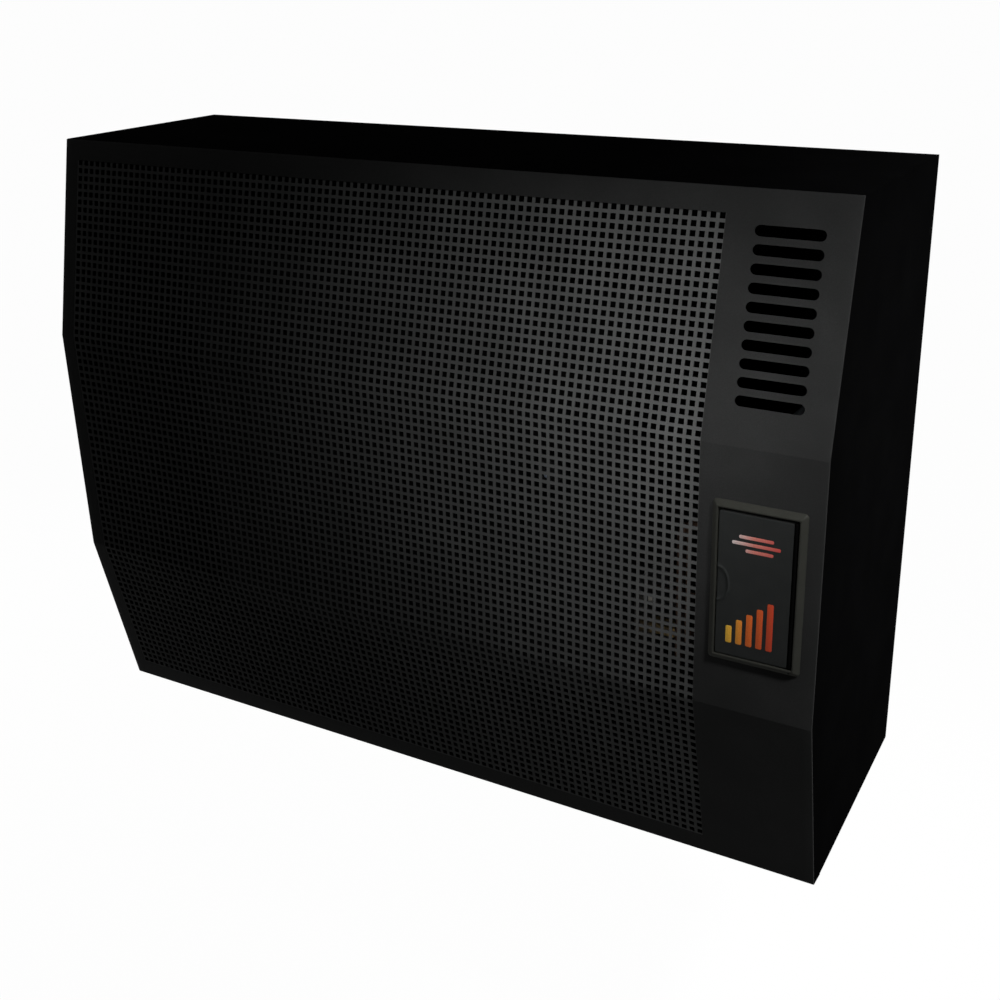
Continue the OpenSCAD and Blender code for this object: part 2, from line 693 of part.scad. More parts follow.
module heat_shield() color(plated) difference() {
    along_z(shield_zs[0], shield_zs[1]) polygon([
        [shield_x, shield_front], [shield_x + shield_t, shield_front], [shield_x + shield_t, -back_t],
        [shield_x - shield_foot, -back_t], [shield_x - shield_foot, foot_y], [shield_x, foot_y]]);
    x = [shield_x - cut, shield_x + shield_t + cut];
    bar_x(x[0], x[1], valve_outlet[0], valve_outlet[1], supply_r + pipe_room);
    bar_x(x[0], x[1], pilot_outlet[0], pilot_outlet[1], pilot_pipe_r + lead_room);
    bar_x(x[0], x[1], magnet_at[1], thermo_level, lead_r + lead_room);
    bar_x(x[0], x[1], spark_at[0], igniter_z, lead_r + lead_room);
    for (z = shield_screw_zs)
        bar_y(foot_y - cut, 0, shield_x - shield_foot / 2, z, screw_r + screw_play);
}

module chamber_brackets() color(plated) for (sx = [-1, 1], sz = [-1, 1])
    translate([ch_mid, 0, chamber_z + sz * bracket_z]) mirror([sx < 0 ? 1 : 0, 0, 0])
        difference() {
            translate([bracket_x, 0, 0]) along_z(-bracket_h / 2, bracket_h / 2) polygon([
                [0, -back_t], [bracket_foot + bracket_t, -back_t], [bracket_foot + bracket_t, foot_y],
                [bracket_t, foot_y], [bracket_t, -chamber_gap], [-bracket_foot, -chamber_gap],
                [-bracket_foot, -chamber_gap + bracket_t], [0, -chamber_gap + bracket_t]]);
            bar_y(foot_y - cut, 0, bracket_x + bracket_foot / 2 + bracket_t, 0, screw_r + screw_play);
        }

// The middles of the bolts around the chamber's rim
module rim_bolts_at() {
    rim_x = chamber_w / 2 + rim_w / 2;
    rim_z = chamber_h / 2 + rim_w / 2;
    for (side = [-1, 1], k = [-1.5:1:1.5])
        translate([ch_mid + k * rim_x * 0.62, 0, chamber_z + side * rim_z]) children();
    for (side = [-1, 1], k = [-0.5, 0.5])
        translate([ch_mid + side * rim_x, 0, chamber_z + k * rim_z]) children();
}
module rim_frame(y1, y2) difference() {
    block([ch_x[0] - rim_w, ch_x[1] + rim_w], [y1, y2], [ch_z[0] - rim_w, ch_z[1] + rim_w]);
    block([ch_x[0] + chamber_t, ch_x[1] - chamber_t], [y1 - cut, y2 + cut],
        [ch_z[0] + chamber_t, ch_z[1] - chamber_t]);
    rim_bolts_at() bar_y(y1 - cut, y2 + cut, 0, 0, bolt_r + 2 * screw_play);
}

module combustion_chamber() color(enamel) {
    difference() {
        union() {
            block(ch_x, ch_y, ch_z);
            rim_frame(ch_y[0], ch_y[0] + chamber_t);
        }
        block([ch_x[0] + chamber_t, ch_x[1] - chamber_t], [ch_y[0] - cut, ch_y[1] - chamber_t],
            [ch_z[0] + chamber_t, ch_z[1] - chamber_t]);
        bar_y(ch_y[1] - chamber_t - cut, ch_y[1] + cut, ch_mid, flue_z, flue_r);
        block(air_port_x, [ch_y[1] - chamber_t - cut, ch_y[1] + cut], air_port_z);
        block([ch_x[1] - chamber_t - cut, ch_x[1] + cut], service_y, service_z);
    }
}

// The flat seal behind the cover, and the ring between the cover and the sight glass
module cover_gasket() color(seal_grey) {
    rim_frame(ch_y[0] - seal_t, ch_y[0]);
    difference() {
        bar_y(sight_y, cover_y, sight_x, sight_z, sight_r);
        bar_y(sight_y - cut, cover_y + cut, sight_x, sight_z, sight_r - glass_lap);
    }
}

module chamber_cover() color(enamel) difference() {
    union() {
        block([ch_x[0] - rim_w, ch_x[1] + rim_w], [cover_y, ch_y[0] - seal_t],
            [ch_z[0] - rim_w, ch_z[1] + rim_w]);
        for (k = [-3:3]) bar_z(ch_z[0] + 20, ch_z[1] - 20, ch_mid + k * rib_pitch, cover_y, rib_r);
    }
    block([ch_x[0], ch_x[1]], [ch_y[0] - seal_t, ch_y[0] + rib_r + cut], ch_z);
    bar_y(cover_y - cut, ch_y[0], sight_x, sight_z, sight_r - glass_lap);
    rim_bolts_at() bar_y(cover_y - cut, ch_y[0], 0, 0, bolt_r + 2 * screw_play);
}

module cover_bolts() color(plated) rim_bolts_at() {
    hex_y(cover_y - bolt_head_l, cover_y, 0, 0, bolt_head_r);
    bar_y(cover_y, ch_y[0] + chamber_t, 0, 0, bolt_r);
}

module sight_glass() color([0.8, 0.85, 0.85, 0.5])
    bar_y(sight_y - glass_t, sight_y, sight_x, sight_z, sight_r);
module sight_frame() color(plated) difference() {
    bar_y(sight_y - glass_t - frame_face, cover_y, sight_x, sight_z, sight_r + glass_lap);
    bar_y(sight_y - glass_t, cover_y + cut, sight_x, sight_z, sight_r + seat);
    bar_y(sight_y - glass_t - frame_face - cut, cover_y, sight_x, sight_z, sight_r - glass_lap - 1);
}

module flue_baffle() color(enamel) {
    x = [ch_x[0] + chamber_t + seat, ch_x[1] - chamber_t - seat];
    y = [ch_y[0] + baffle_front, ch_y[1] - chamber_t - seat];
    block(x, y, [baffle_z, baffle_z + chamber_t]);
    block([x[0], x[0] + chamber_t], y, [baffle_z - flange_w, baffle_z]);
    block([x[1] - chamber_t, x[1]], y, [baffle_z - flange_w, baffle_z]);
}

module exhaust_spigot() color(plated) difference() {
    union() {
        bar_y(ch_y[1], ch_y[1] + seal_t, ch_mid, flue_z, flue_r + spigot_flange);
        bar_y(ch_y[1], spigot_end, ch_mid, flue_z, flue_r + flue_t);
    }
    bar_y(ch_y[1] - cut, spigot_end + cut, ch_mid, flue_z, flue_r);
}

module air_collar() color(plated) difference() {
    union() {
        bar_y(-collar_l, 0, ch_mid, flue_z, air_r + flue_t);
        bar_y(foot_y, -back_t, ch_mid, flue_z, air_r + collar_flange);
    }
    bar_y(-collar_l - cut, cut, ch_mid, flue_z, air_r);
}

// The duct's four walls with the flange that meets the back plate
module air_duct() color(plated) {
    x = [ch_mid - duct_half, ch_mid + duct_half];
    difference() {
        union() {
            block(x, [duct_y + duct_t, -back_t], duct_z);
            block([x[0] - duct_flange, x[1] + duct_flange], [-back_t - duct_t, -back_t],
                [duct_z[0] - duct_flange, duct_z[1] + duct_flange]);
        }
        block([x[0] + duct_t, x[1] - duct_t], [duct_y, 0], [duct_z[0] + duct_t, duct_z[1] - duct_t]);
    }
}

// The duct's front, with the holes for the flue and for the air port
module duct_plate() color(plated) difference() {
    block([ch_mid - duct_half, ch_mid + duct_half], [duct_y, duct_y + duct_t], duct_z);
    bar_y(duct_y - cut, duct_y + duct_t + cut, ch_mid, flue_z, flue_r + flue_t + 2 * seat);
    block(air_port_x, [duct_y - cut, duct_y + duct_t + cut], air_port_z);
}

module duct_gasket() color(seal_grey) difference() {
    block([air_port_x[0] - duct_seal[0], air_port_x[1] + duct_seal[0]], [ch_y[1], duct_y],
        [air_port_z[0] - duct_seal[1], air_port_z[1] + duct_seal[0]]);
    block(air_port_x, [ch_y[1] - cut, duct_y + cut], air_port_z);
}

module burner_tube() color(plated) difference() {
    bar_x(burner_x[0], burner_x[1], burner_y, burner_z, burner_r);
    bar_x(burner_x[0] + burner_t, burner_x[1] + cut, burner_y, burner_z, burner_r - burner_t);
    step = (port_x[1] - port_x[0]) / (port_count - 1);
    for (row = [-1, 1], k = [0:port_count - 1])
        bar_z(burner_z, burner_z + burner_r + cut, port_x[0] + k * step,
            burner_y + row * port_rows / 2, port_r);
}

module burner_saddles() color(plated) for (x = saddle_x) difference() {
    block([x, x + saddle_t], [burner_y - burner_r - saddle_side, burner_y + burner_r + saddle_side],
        [ch_z[0] + chamber_t, burner_z]);
    bar_x(x - cut, x + saddle_t + cut, burner_y, burner_z, burner_r + seat);
}

module injector_flange() color(plated) difference() {
    block([ch_x[1], flange_x], [service_y[0] - flange_out, service_y[1] + flange_out],
        [service_z[0] - flange_out, service_z[1] + flange_out]);
    bar_x(ch_x[1] - cut, flange_x + cut, burner_y, burner_z, nozzle_r + seat);
    bar_x(ch_x[1] - cut, flange_x + cut, pilot_at[0], pilot_at[1], pilot_pipe_r + seat);
    bar_x(ch_x[1] - cut, flange_x + cut, thermo_at[0], thermo_at[1], lead_r + seat);
    bar_x(ch_x[1] - cut, flange_x + cut, spark_at[0], spark_at[1], insulator_r + seat);
}

module main_injector() color(brass) difference() {
    union() {
        hex_x(flange_x, injector_x, burner_y, burner_z, 2 * nozzle_r);
        bar_x(nozzle_x, flange_x, burner_y, burner_z, nozzle_r);
    }
    bar_x(nozzle_x + nozzle_r, injector_x + cut, burner_y, burner_z, nozzle_r / 2);
    bar_x(nozzle_x - cut, nozzle_x + nozzle_r + cut, burner_y, burner_z, 0.9);
}

module pilot_bracket() color(plated) {
    y = [spark_at[0] - plate_side, pilot_at[0] + plate_side];
    difference() {
        translate([0, y[1], 0]) rotate([90, 0, 0]) linear_extrude(y[1] - y[0]) polygon([
            [pilot_x, pilot_plate[1]], [pilot_x, pilot_plate[0]],
            [ch_x[1] - bracket_t, pilot_plate[0]], [ch_x[1] - bracket_t, pilot_plate[0] - plate_side],
            [ch_x[1], pilot_plate[0] - plate_side], [ch_x[1], pilot_plate[0] + bracket_t],
            [pilot_x + bracket_t, pilot_plate[0] + bracket_t], [pilot_x + bracket_t, pilot_plate[1]]]);
        for (hole = [[pilot_at, pilot_neck_r], [thermo_at, probe_r], [spark_at, insulator_r]])
            bar_x(pilot_x - cut, pilot_x + bracket_t + cut, hole[0][0], hole[0][1],
                hole[1] + 2 * screw_play);
    }
}

module pilot_burner() color(brass) difference() {
    union() {
        bar_x(pilot_x - pilot_l, pilot_x, pilot_at[0], pilot_at[1], pilot_r);
        bar_x(pilot_x, pilot_x + bracket_t, pilot_at[0], pilot_at[1], pilot_neck_r);
        hex_x(pilot_x + bracket_t, pilot_x + pilot_nut, pilot_at[0], pilot_at[1], pilot_r);
    }
    bar_x(pilot_x - pilot_l - cut, pilot_x - 3, pilot_at[0], pilot_at[1], pilot_r - 2);
    block([pilot_x - pilot_l + 2, pilot_x - pilot_r], [pilot_at[0] - pilot_r - cut,
        pilot_at[0] + pilot_r + cut], [pilot_at[1], pilot_at[1] + pilot_r + cut]);
}

module thermocouple() color(copper) {
    bar_x(pilot_x - probe_l, pilot_x + bracket_t, thermo_at[0], thermo_at[1], probe_r);
    bar_x(pilot_x + bracket_t, pilot_x + probe_nut, thermo_at[0], thermo_at[1], probe_r + 1);
    pipe_run(thermo_route, lead_r, lead_bend);
}

module electrode_insulator() color(ceramic) difference() {
    bar_x(pilot_x - 8, spark_end, spark_at[0], spark_at[1], insulator_r);
    bar_x(pilot_x - 8 - cut, spark_end + cut, spark_at[0], spark_at[1], electrode_r + screw_play);
}
module ignition_electrode() color(plated)
    bar_x(pilot_x - 22, spark_end - seat, spark_at[0], spark_at[1], electrode_r);
module ignition_lead() color([0.75, 0.1, 0.08]) pipe_run(spark_route, lead_r, lead_bend);

module pilot_tube() color(copper) pipe_run(pilot_route, pilot_pipe_r, lead_bend, pipe_wall / 2);

module supply_pipe() color(copper) pipe_run(supply_route, supply_r, supply_bend, pipe_wall);
module supply_nuts() color(brass)
    for (x = [[shield_x + shield_t + 2, web_x - bracket_t - seat], [injector_x, injector_x + nut_l]])
        difference() {
            y = x[0] > injector_x ? valve_outlet[0] : burner_y;
            z = x[0] > injector_x ? valve_outlet[1] : burner_z;
            hex_x(x[0], x[1], y, z, supply_r + nut_side);
            bar_x(x[0] - cut, x[1] + cut, y, z, supply_r + 2 * screw_play);
        }

module inlet_pipe() color(copper) pipe_run(inlet_route, inlet_pipe_r, inlet_bend, pipe_wall);
module inlet_fitting() color(brass) translate([inlet_at[0], inlet_y, inlet_zs[0]]) difference() {
    union() {
        translate([0, 0, -inlet_hex_l]) cylinder(r = inlet_thread_r + nut_side, h = inlet_hex_l, $fn = 6);
        translate([0, 0, -inlet_hex_l - inlet_thread_l]) cylinder(r = inlet_thread_r, h = inlet_thread_l);
    }
    translate([0, 0, -inlet_hex_l - inlet_thread_l - cut])
        cylinder(r = inlet_pipe_r - pipe_wall, h = inlet_hex_l + inlet_thread_l + 2 * cut);
}
module pipe_clamp() color(plated) difference() {
    front = inlet_y - inlet_pipe_r - clamp_side;
    along_x(inlet_at[0] - inlet_pipe_r - clamp_side, inlet_at[0] + inlet_pipe_r + clamp_side) polygon([
        [-back_t, clamp_z - clamp_foot], [-back_t, clamp_z + bracket_t], [front, clamp_z + bracket_t],
        [front, clamp_z], [foot_y, clamp_z], [foot_y, clamp_z - clamp_foot]]);
    bar_z(clamp_z - cut, clamp_z + bracket_t + cut, inlet_at[0], inlet_y, inlet_pipe_r + seat);
}

module control_bracket() color(plated) {
    front = control_y + bracket_t;
    difference() {
        along_z(plate_zs[0], plate_zs[1]) polygon([
            [web_x - bracket_t, front], [web_x + 10, front], [web_x + 10, front + bracket_t],
            [web_x, front + bracket_t], [web_x, foot_y], [web_x + web_foot, foot_y],
            [web_x + web_foot, -back_t], [web_x - bracket_t, -back_t]]);
        x = [web_x - bracket_t - cut, web_x + cut];
        bar_x(x[0], x[1], valve_outlet[0], valve_outlet[1], supply_r + seat);
        bar_x(x[0], x[1], pilot_outlet[0], pilot_outlet[1], pilot_pipe_r + seat);
        bar_x(x[0], x[1], magnet_at[1], thermo_level, lead_r + lead_room);
        bar_x(x[0], x[1], spark_at[0], igniter_z, lead_r + lead_room);
        for (sz = [-1, 1])
            bar_y(foot_y - cut, 0, web_x + web_foot / 2 + bracket_t / 2, door_z + sz * web_screw_z,
                screw_r + screw_play);
        for (sz = [-1, 1])
            bar_y(front - cut, front + bracket_t + cut, plate_screw[0], door_z + sz * plate_screw[1],
                screw_r + screw_play);
    }
}
module control_plate() color(black) difference() {
    block(plate_x, [control_y, control_y + bracket_t], plate_zs);
    bar_y(control_y - cut, control_y + bracket_t + cut, strip_x, knob_z, bonnet_r + 2);
    bar_y(control_y - cut, control_y + bracket_t + cut, strip_x, igniter_z, igniter_r + seat);
    for (sz = [-1, 1]) bar_y(control_y - cut, control_y + bracket_t + cut, plate_screw[0],
        door_z + sz * plate_screw[1], screw_r + screw_play);
}
module control_screws() color(plated) for (sz = [-1, 1]) {
    z = door_z + sz * plate_screw[1];
    bar_y(control_y - screw_head, control_y, plate_screw[0], z, 2 * screw_r);
    bar_y(control_y, control_y + 2 * bracket_t, plate_screw[0], z, screw_r);
}

module gas_valve() color([0.7, 0.71, 0.72]) difference() {
    union() {
        block([web_x, web_x + valve_w], valve_y, valve_zs);
        bar_y(valve_y[0] - bonnet_l, valve_y[0], strip_x, knob_z, bonnet_r);
    }
    bar_y(valve_y[0] - bonnet_l - cut, valve_y[0] - bonnet_l + pocket_l, strip_x, knob_z, pocket_r);
    bar_y(valve_y[0] - bonnet_l, spindle_end + knob_travel + 2, strip_x, knob_z, spindle_r + running);
}
module magnet_unit() color(brass)
    bar_z(valve_zs[0] - magnet_l, valve_zs[0], magnet_at[0], magnet_at[1], magnet_r);

module thermostat_bulb() color(copper) bar_z(bulb_top - bulb_l, bulb_top, bulb_at[0], bulb_at[1], bulb_r);
module thermostat_capillary() color(copper) pipe_run(capillary_route, capillary_r, 10);
module bulb_clips() color(plated) for (z = clip_zs) difference() {
    union() {
        bar_z(z, z + clip_l, bulb_at[0], bulb_at[1], bulb_r + clip_t);
        block([shield_x + shield_t, bulb_at[0]], [bulb_at[1] - clip_l / 4, bulb_at[1] + clip_l / 4],
            [z, z + clip_l]);
    }
    bar_z(z - cut, z + clip_l + cut, bulb_at[0], bulb_at[1], bulb_r + 2 * screw_play);
}

module spindle_collar() color(brass) difference() {
    bar_y(collar_y, collar_y + collar_t, strip_x, knob_z, pocket_r - seat);
    bar_y(collar_y - cut, collar_y + collar_t + cut, strip_x, knob_z, spindle_r + running);
}
module knob_spring() color(plated) translate([strip_x, collar_y + collar_t + spring_play, knob_z])
    rotate([-90, 0, 0]) coil_spring((pocket_r + spindle_r) / 2, spring_wire,
        pocket_l - collar_sink - collar_t - 2 * spring_play, 3);
module valve_spindle() color(plated) {
    bar_y(spindle_tip, spindle_end, strip_x, knob_z, spindle_r);
    bar_y(collar_y - spindle_ring, collar_y, strip_x, knob_z, spindle_r + 2);
}
module gas_knob() color(black) difference() {
    union() {
        bar_y(knob_y - knob_skirt, knob_y, strip_x, knob_z, knob_r);
        bar_y(knob_y - knob_l, knob_y - knob_skirt, strip_x, knob_z, knob_r - knob_waist);
        block([strip_x - pointer_w / 2, strip_x + pointer_w / 2],
            [knob_y - knob_l - pointer_rise, knob_y - knob_l], pointer_z);
    }
    bar_y(spindle_tip - seat, knob_y + cut, strip_x, knob_z, spindle_r + screw_play);
    for (a = [0:flute_turn:359]) bar_y(knob_y - knob_l - cut, knob_y - knob_skirt,
        strip_x + flute_at * sin(a), knob_z + flute_at * cos(a), flute_r);
}

module piezo_body() color(black) difference() {
    union() {
        bar_y(control_y - piezo_rim[1], control_y, strip_x, igniter_z, igniter_r + piezo_rim[0]);
        bar_y(control_y, piezo_y, strip_x, igniter_z, igniter_r);
    }
    bar_y(control_y - piezo_rim[1] - cut, bore_end, strip_x, igniter_z, button_r + seat);
}
module piezo_nut() color(plated) difference() {
    hex_y(control_y + bracket_t, control_y + bracket_t + nut_t, strip_x, igniter_z,
        igniter_r + nut_side);
    bar_y(control_y, control_y + bracket_t + nut_t + cut, strip_x, igniter_z,
        igniter_r + 2 * screw_play);
}
module igniter_spring() color(plated) translate([strip_x, button_end + spring_play, igniter_z])
    rotate([-90, 0, 0]) coil_spring(button_r - 3 * spring_wire, spring_wire,
        bore_end - button_end - 2 * spring_play, 8);
module igniter_button() color([0.75, 0.08, 0.06]) {
    bar_y(cap_y - cap_t, cap_y, strip_x, igniter_z, button_r + 2);
    bar_y(cap_y, button_end, strip_x, igniter_z, button_r);
}

module door_frame() color([0.13, 0.13, 0.14]) difference() {
    union() {
        block([strip_x - frame_w / 2, strip_x + frame_w / 2], [frame_y, -case_d],
            [door_z - frame_h / 2, door_z + frame_h / 2]);
        block([strip_x - opening_w / 2 - skirt_t, strip_x + opening_w / 2 + skirt_t],
            [-case_d, -case_d + skirt_d],
            [door_z - opening_h / 2 - skirt_t, door_z + opening_h / 2 + skirt_t]);
    }
    block([strip_x - opening_w / 2, strip_x + opening_w / 2], [frame_y - cut, -case_d + skirt_d + cut],
        [door_z - opening_h / 2, door_z + opening_h / 2]);
    bar_z(door_z - opening_h / 2 - hinge_hold - screw_play,
        door_z + opening_h / 2 + hinge_hold + screw_play, hinge_x, hinge_y, hinge_pin_r + 0.05);
}

module control_door() color([0.15, 0.15, 0.16]) difference() {
    union() {
        block([door_x[0], hinge_x], door_y, door_zs);
        bar_z(door_zs[0], door_zs[1], hinge_x, hinge_y, barrel_r);
    }
    translate([door_x[0], 0, door_z]) along_y(door_y[0] - cut, door_y[0] + notch_d)
        polygon(concat([for (k = [0:16]) let (a = -90 + 180 * k / 16)
            [notch_w * cos(a), notch_h / 2 * sin(a)]],
            [[-cut, notch_h / 2], [-cut, -notch_h / 2]]));
    bar_z(door_zs[0] - cut, door_zs[0] + hinge_pin_l, hinge_x, hinge_y, hinge_pin_r + running);
    bar_z(door_zs[1] - hinge_pin_l, door_zs[1] + cut, hinge_x, hinge_y, hinge_pin_r + running);
}

module hinge_pins() color(plated) {
    bar_z(door_z - opening_h / 2 - hinge_hold, door_zs[0] + hinge_pin_l - seat,
        hinge_x, hinge_y, hinge_pin_r);
    bar_z(door_zs[1] - hinge_pin_l + seat, door_z + opening_h / 2 + hinge_hold,
        hinge_x, hinge_y, hinge_pin_r);
}

module door_magnet() color([0.3, 0.3, 0.32])
    block([strip_x - opening_w / 2, strip_x - opening_w / 2 + catch_w],
        [door_y[1] + striker_t + seat, -case_d + skirt_d - 1],
        [door_z - catch_h / 2, door_z + catch_h / 2]);
module door_striker() color(plated)
    block(striker_x, [door_y[1], door_y[1] + striker_t], [door_z - catch_h / 2, door_z + catch_h / 2]);

front_panel();
top_panel();
bottom_panel();
side_panel_left();
side_panel_right();
casing_screws();
back_plate();
chassis_screws();
air_deflector();
heat_shield();
chamber_brackets();
combustion_chamber();
cover_gasket();
chamber_cover();
cover_bolts();
sight_glass();
sight_frame();
flue_baffle();
exhaust_spigot();
air_collar();
air_duct();
duct_plate();
duct_gasket();
burner_tube();
burner_saddles();
injector_flange();
main_injector();
pilot_bracket();
pilot_burner();
thermocouple();
electrode_insulator();
ignition_electrode();
ignition_lead();
pilot_tube();
supply_pipe();
supply_nuts();
inlet_pipe();
inlet_fitting();
pipe_clamp();
control_bracket();
control_plate();
control_screws();
gas_valve();
magnet_unit();
thermostat_bulb();
thermostat_capillary();
bulb_clips();
spindle_collar();
knob_spring();
valve_spindle();
gas_knob();
piezo_body();
piezo_nut();
igniter_spring();
igniter_button();
door_frame();
control_door();
hinge_pins();
door_magnet();
door_striker();
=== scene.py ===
import logging
import math
from dataclasses import dataclass, field
from enum import Enum
from typing import Callable, Sequence

import bpy
import numpy as np
from mathutils import Matrix, Vector

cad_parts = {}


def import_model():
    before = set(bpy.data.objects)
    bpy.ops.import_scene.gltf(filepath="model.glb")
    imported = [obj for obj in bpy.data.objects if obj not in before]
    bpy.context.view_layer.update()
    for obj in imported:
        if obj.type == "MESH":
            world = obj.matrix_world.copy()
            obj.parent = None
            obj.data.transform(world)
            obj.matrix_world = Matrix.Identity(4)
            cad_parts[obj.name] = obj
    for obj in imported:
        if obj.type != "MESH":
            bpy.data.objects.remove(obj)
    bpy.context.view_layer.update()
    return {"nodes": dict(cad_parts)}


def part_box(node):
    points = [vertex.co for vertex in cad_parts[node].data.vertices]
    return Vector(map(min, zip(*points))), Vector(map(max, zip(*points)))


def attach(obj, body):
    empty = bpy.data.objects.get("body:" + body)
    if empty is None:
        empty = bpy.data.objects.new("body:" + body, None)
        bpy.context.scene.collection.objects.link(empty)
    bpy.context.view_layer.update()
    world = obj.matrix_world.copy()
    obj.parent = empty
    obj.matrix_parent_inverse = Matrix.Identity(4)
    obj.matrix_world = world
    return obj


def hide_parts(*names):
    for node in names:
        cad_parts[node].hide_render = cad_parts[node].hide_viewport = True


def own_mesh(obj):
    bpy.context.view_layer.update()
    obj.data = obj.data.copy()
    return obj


# Lengths are in millimetres, apart from those of the camera, the lamps, the floor and Graph.place.

LOG = logging.getLogger("heater")
MM = 0.001
SHARP = math.radians(32)
WHITE = (1.0, 1.0, 1.0, 1.0)
Array = np.ndarray
Pair = tuple[float, float]
Rgb = Point = tuple[float, float, float]
Bounds = tuple[float, float, float, float]
Profile = Sequence[Pair]

# Factors for the left and the right side, or for below and above the middle.
SIDES = (-1, 1)

# Radius of a lathed shape's first and last ring: as good as a point on its axis.
AXIS = 0.001


# Shader maths


def operator(kind: str, turned_round: bool = False) -> Callable[["Signal", "Signal | float"], "Signal"]:
    """A Signal's method for one of Python's operators.

    Args:
        kind: the Math node's operation.
        turned_round: whether the other value comes first.

    Returns:
        The method.
    """

    def apply(self: "Signal", other: "Signal | float") -> "Signal":
        """Adds the Math node."""
        return self.graph.maths(kind, *((other, self) if turned_round else (self, other)))

    return apply


class Signal:
    """A node's output that takes Python's operators, so that an expression adds its Math nodes."""

    def __init__(self, graph: "Graph", socket: bpy.types.NodeSocket | None) -> None:
        """Keeps the graph that the expression grows in and the socket it starts from."""
        self.graph = graph
        self.socket = socket

    __add__ = __radd__ = operator("ADD")
    __mul__ = __rmul__ = operator("MULTIPLY")
    __sub__ = operator("SUBTRACT")
    __rsub__ = operator("SUBTRACT", True)
    __truediv__ = operator("DIVIDE")
    __pow__ = operator("POWER")

    def size(self) -> "Signal":
        """The absolute value."""
        return self.graph.maths("ABSOLUTE", self)

    def limited(self) -> "Signal":
        """This kept between 0 and 1."""
        return self.graph.maths("MINIMUM", self.graph.maths("MAXIMUM", self, 0.0), 1.0)

    def rising(self, low: float, high: float) -> "Signal":
        """A smooth step that is 0 below low and 1 above high."""
        ends = {"Value": self, "From Min": low, "From Max": high}
        return self.graph.node("MapRange", ends, interpolation_type="SMOOTHSTEP")


class Graph:
    """The node tree of one material or of the world."""

    def __init__(self, owner: bpy.types.Material | bpy.types.World) -> None:
        """Gives the owner an empty tree.

        Args:
            owner: the material or the world.
        """
        owner.use_nodes = True
        self.tree = owner.node_tree
        self.tree.nodes.clear()

    def node(
        self,
        kind: str,
        values: dict[str | int, object] | None = None,
        output: str | int = 0,
        **settings: object,
    ) -> Signal:
        """Adds any node.

        Args:
            kind: the node's type, without ShaderNode.
            values: a number, colour, vector or Signal for each named or numbered input.
            output: the output to hand back.
            settings: its properties, set first.

        Returns:
            The chosen output, or an empty signal for a node that has none.
        """
        made = self.tree.nodes.new("ShaderNode" + kind)
        for key, value in settings.items():
            setattr(made, key, value)
        for key, value in (values or {}).items():
            if isinstance(value, Signal):
                self.tree.links.new(value.socket, made.inputs[key])
            else:
                made.inputs[key].default_value = value
        return Signal(self, made.outputs[output] if made.outputs else None)

    def maths(self, operation: str, *inputs: Signal | float) -> Signal:
        """A Math node's result for its inputs."""
        return self.node("Math", dict(enumerate(inputs)), operation=operation)

    def place(self) -> Signal:
        """The point in the object's own coordinates, in metres."""
        return self.node("TexCoord", output="Object")

    def axis(self, letter: str) -> Signal:
        """One coordinate of the point: X, Y or Z."""
        return self.node("SeparateXYZ", {0: self.place()}, letter)

    def band(self, letter: str, low: float, high: float) -> Signal:
        """A band between two places on an axis, with edges half a millimetre wide.

        Args:
            letter: the axis: X, Y or Z.
            low: where it starts.
            high: where it ends.

        Returns:
            1 inside the band and 0 outside it.
        """
        at = self.axis(letter)
        soft = 0.25
        start = at.rising((low - soft) * MM, (low + soft) * MM)
        return start - at.rising((high - soft) * MM, (high + soft) * MM)

    def noise(self, grain: float, detail: float = 3.0, stretch: Point = (1.0, 1.0, 1.0)) -> Signal:
        """Fractal noise.

        Args:
            grain: the size of one blotch.
            detail: how many finer layers it has.
            stretch: how much longer the blotches are along each axis.

        Returns:
            A value around 0.5.
        """
        scale = tuple(1.0 / (grain * MM * s) for s in stretch)
        moved = self.node("Mapping", {"Vector": self.place(), "Scale": scale})
        return self.node("TexNoise", {"Vector": moved, "Scale": 1.0, "Detail": detail})

    def mix(self, factor: Signal | float, low: Signal | Rgb, high: Signal | Rgb) -> Signal:
        """Blends two colours by a factor."""
        low, high = (end if isinstance(end, Signal) else (*end, 1.0) for end in (low, high))
        return self.node("Mix", {6: low, 7: high, 0: factor}, 2, data_type="RGBA")

    def bump(self, height: Signal, strength: float, depth: float) -> Signal:
        """The normal, bent by a share of a relief of some depth."""
        return self.node("Bump", {"Height": height, "Strength": strength, "Distance": depth * MM})


# Finishes


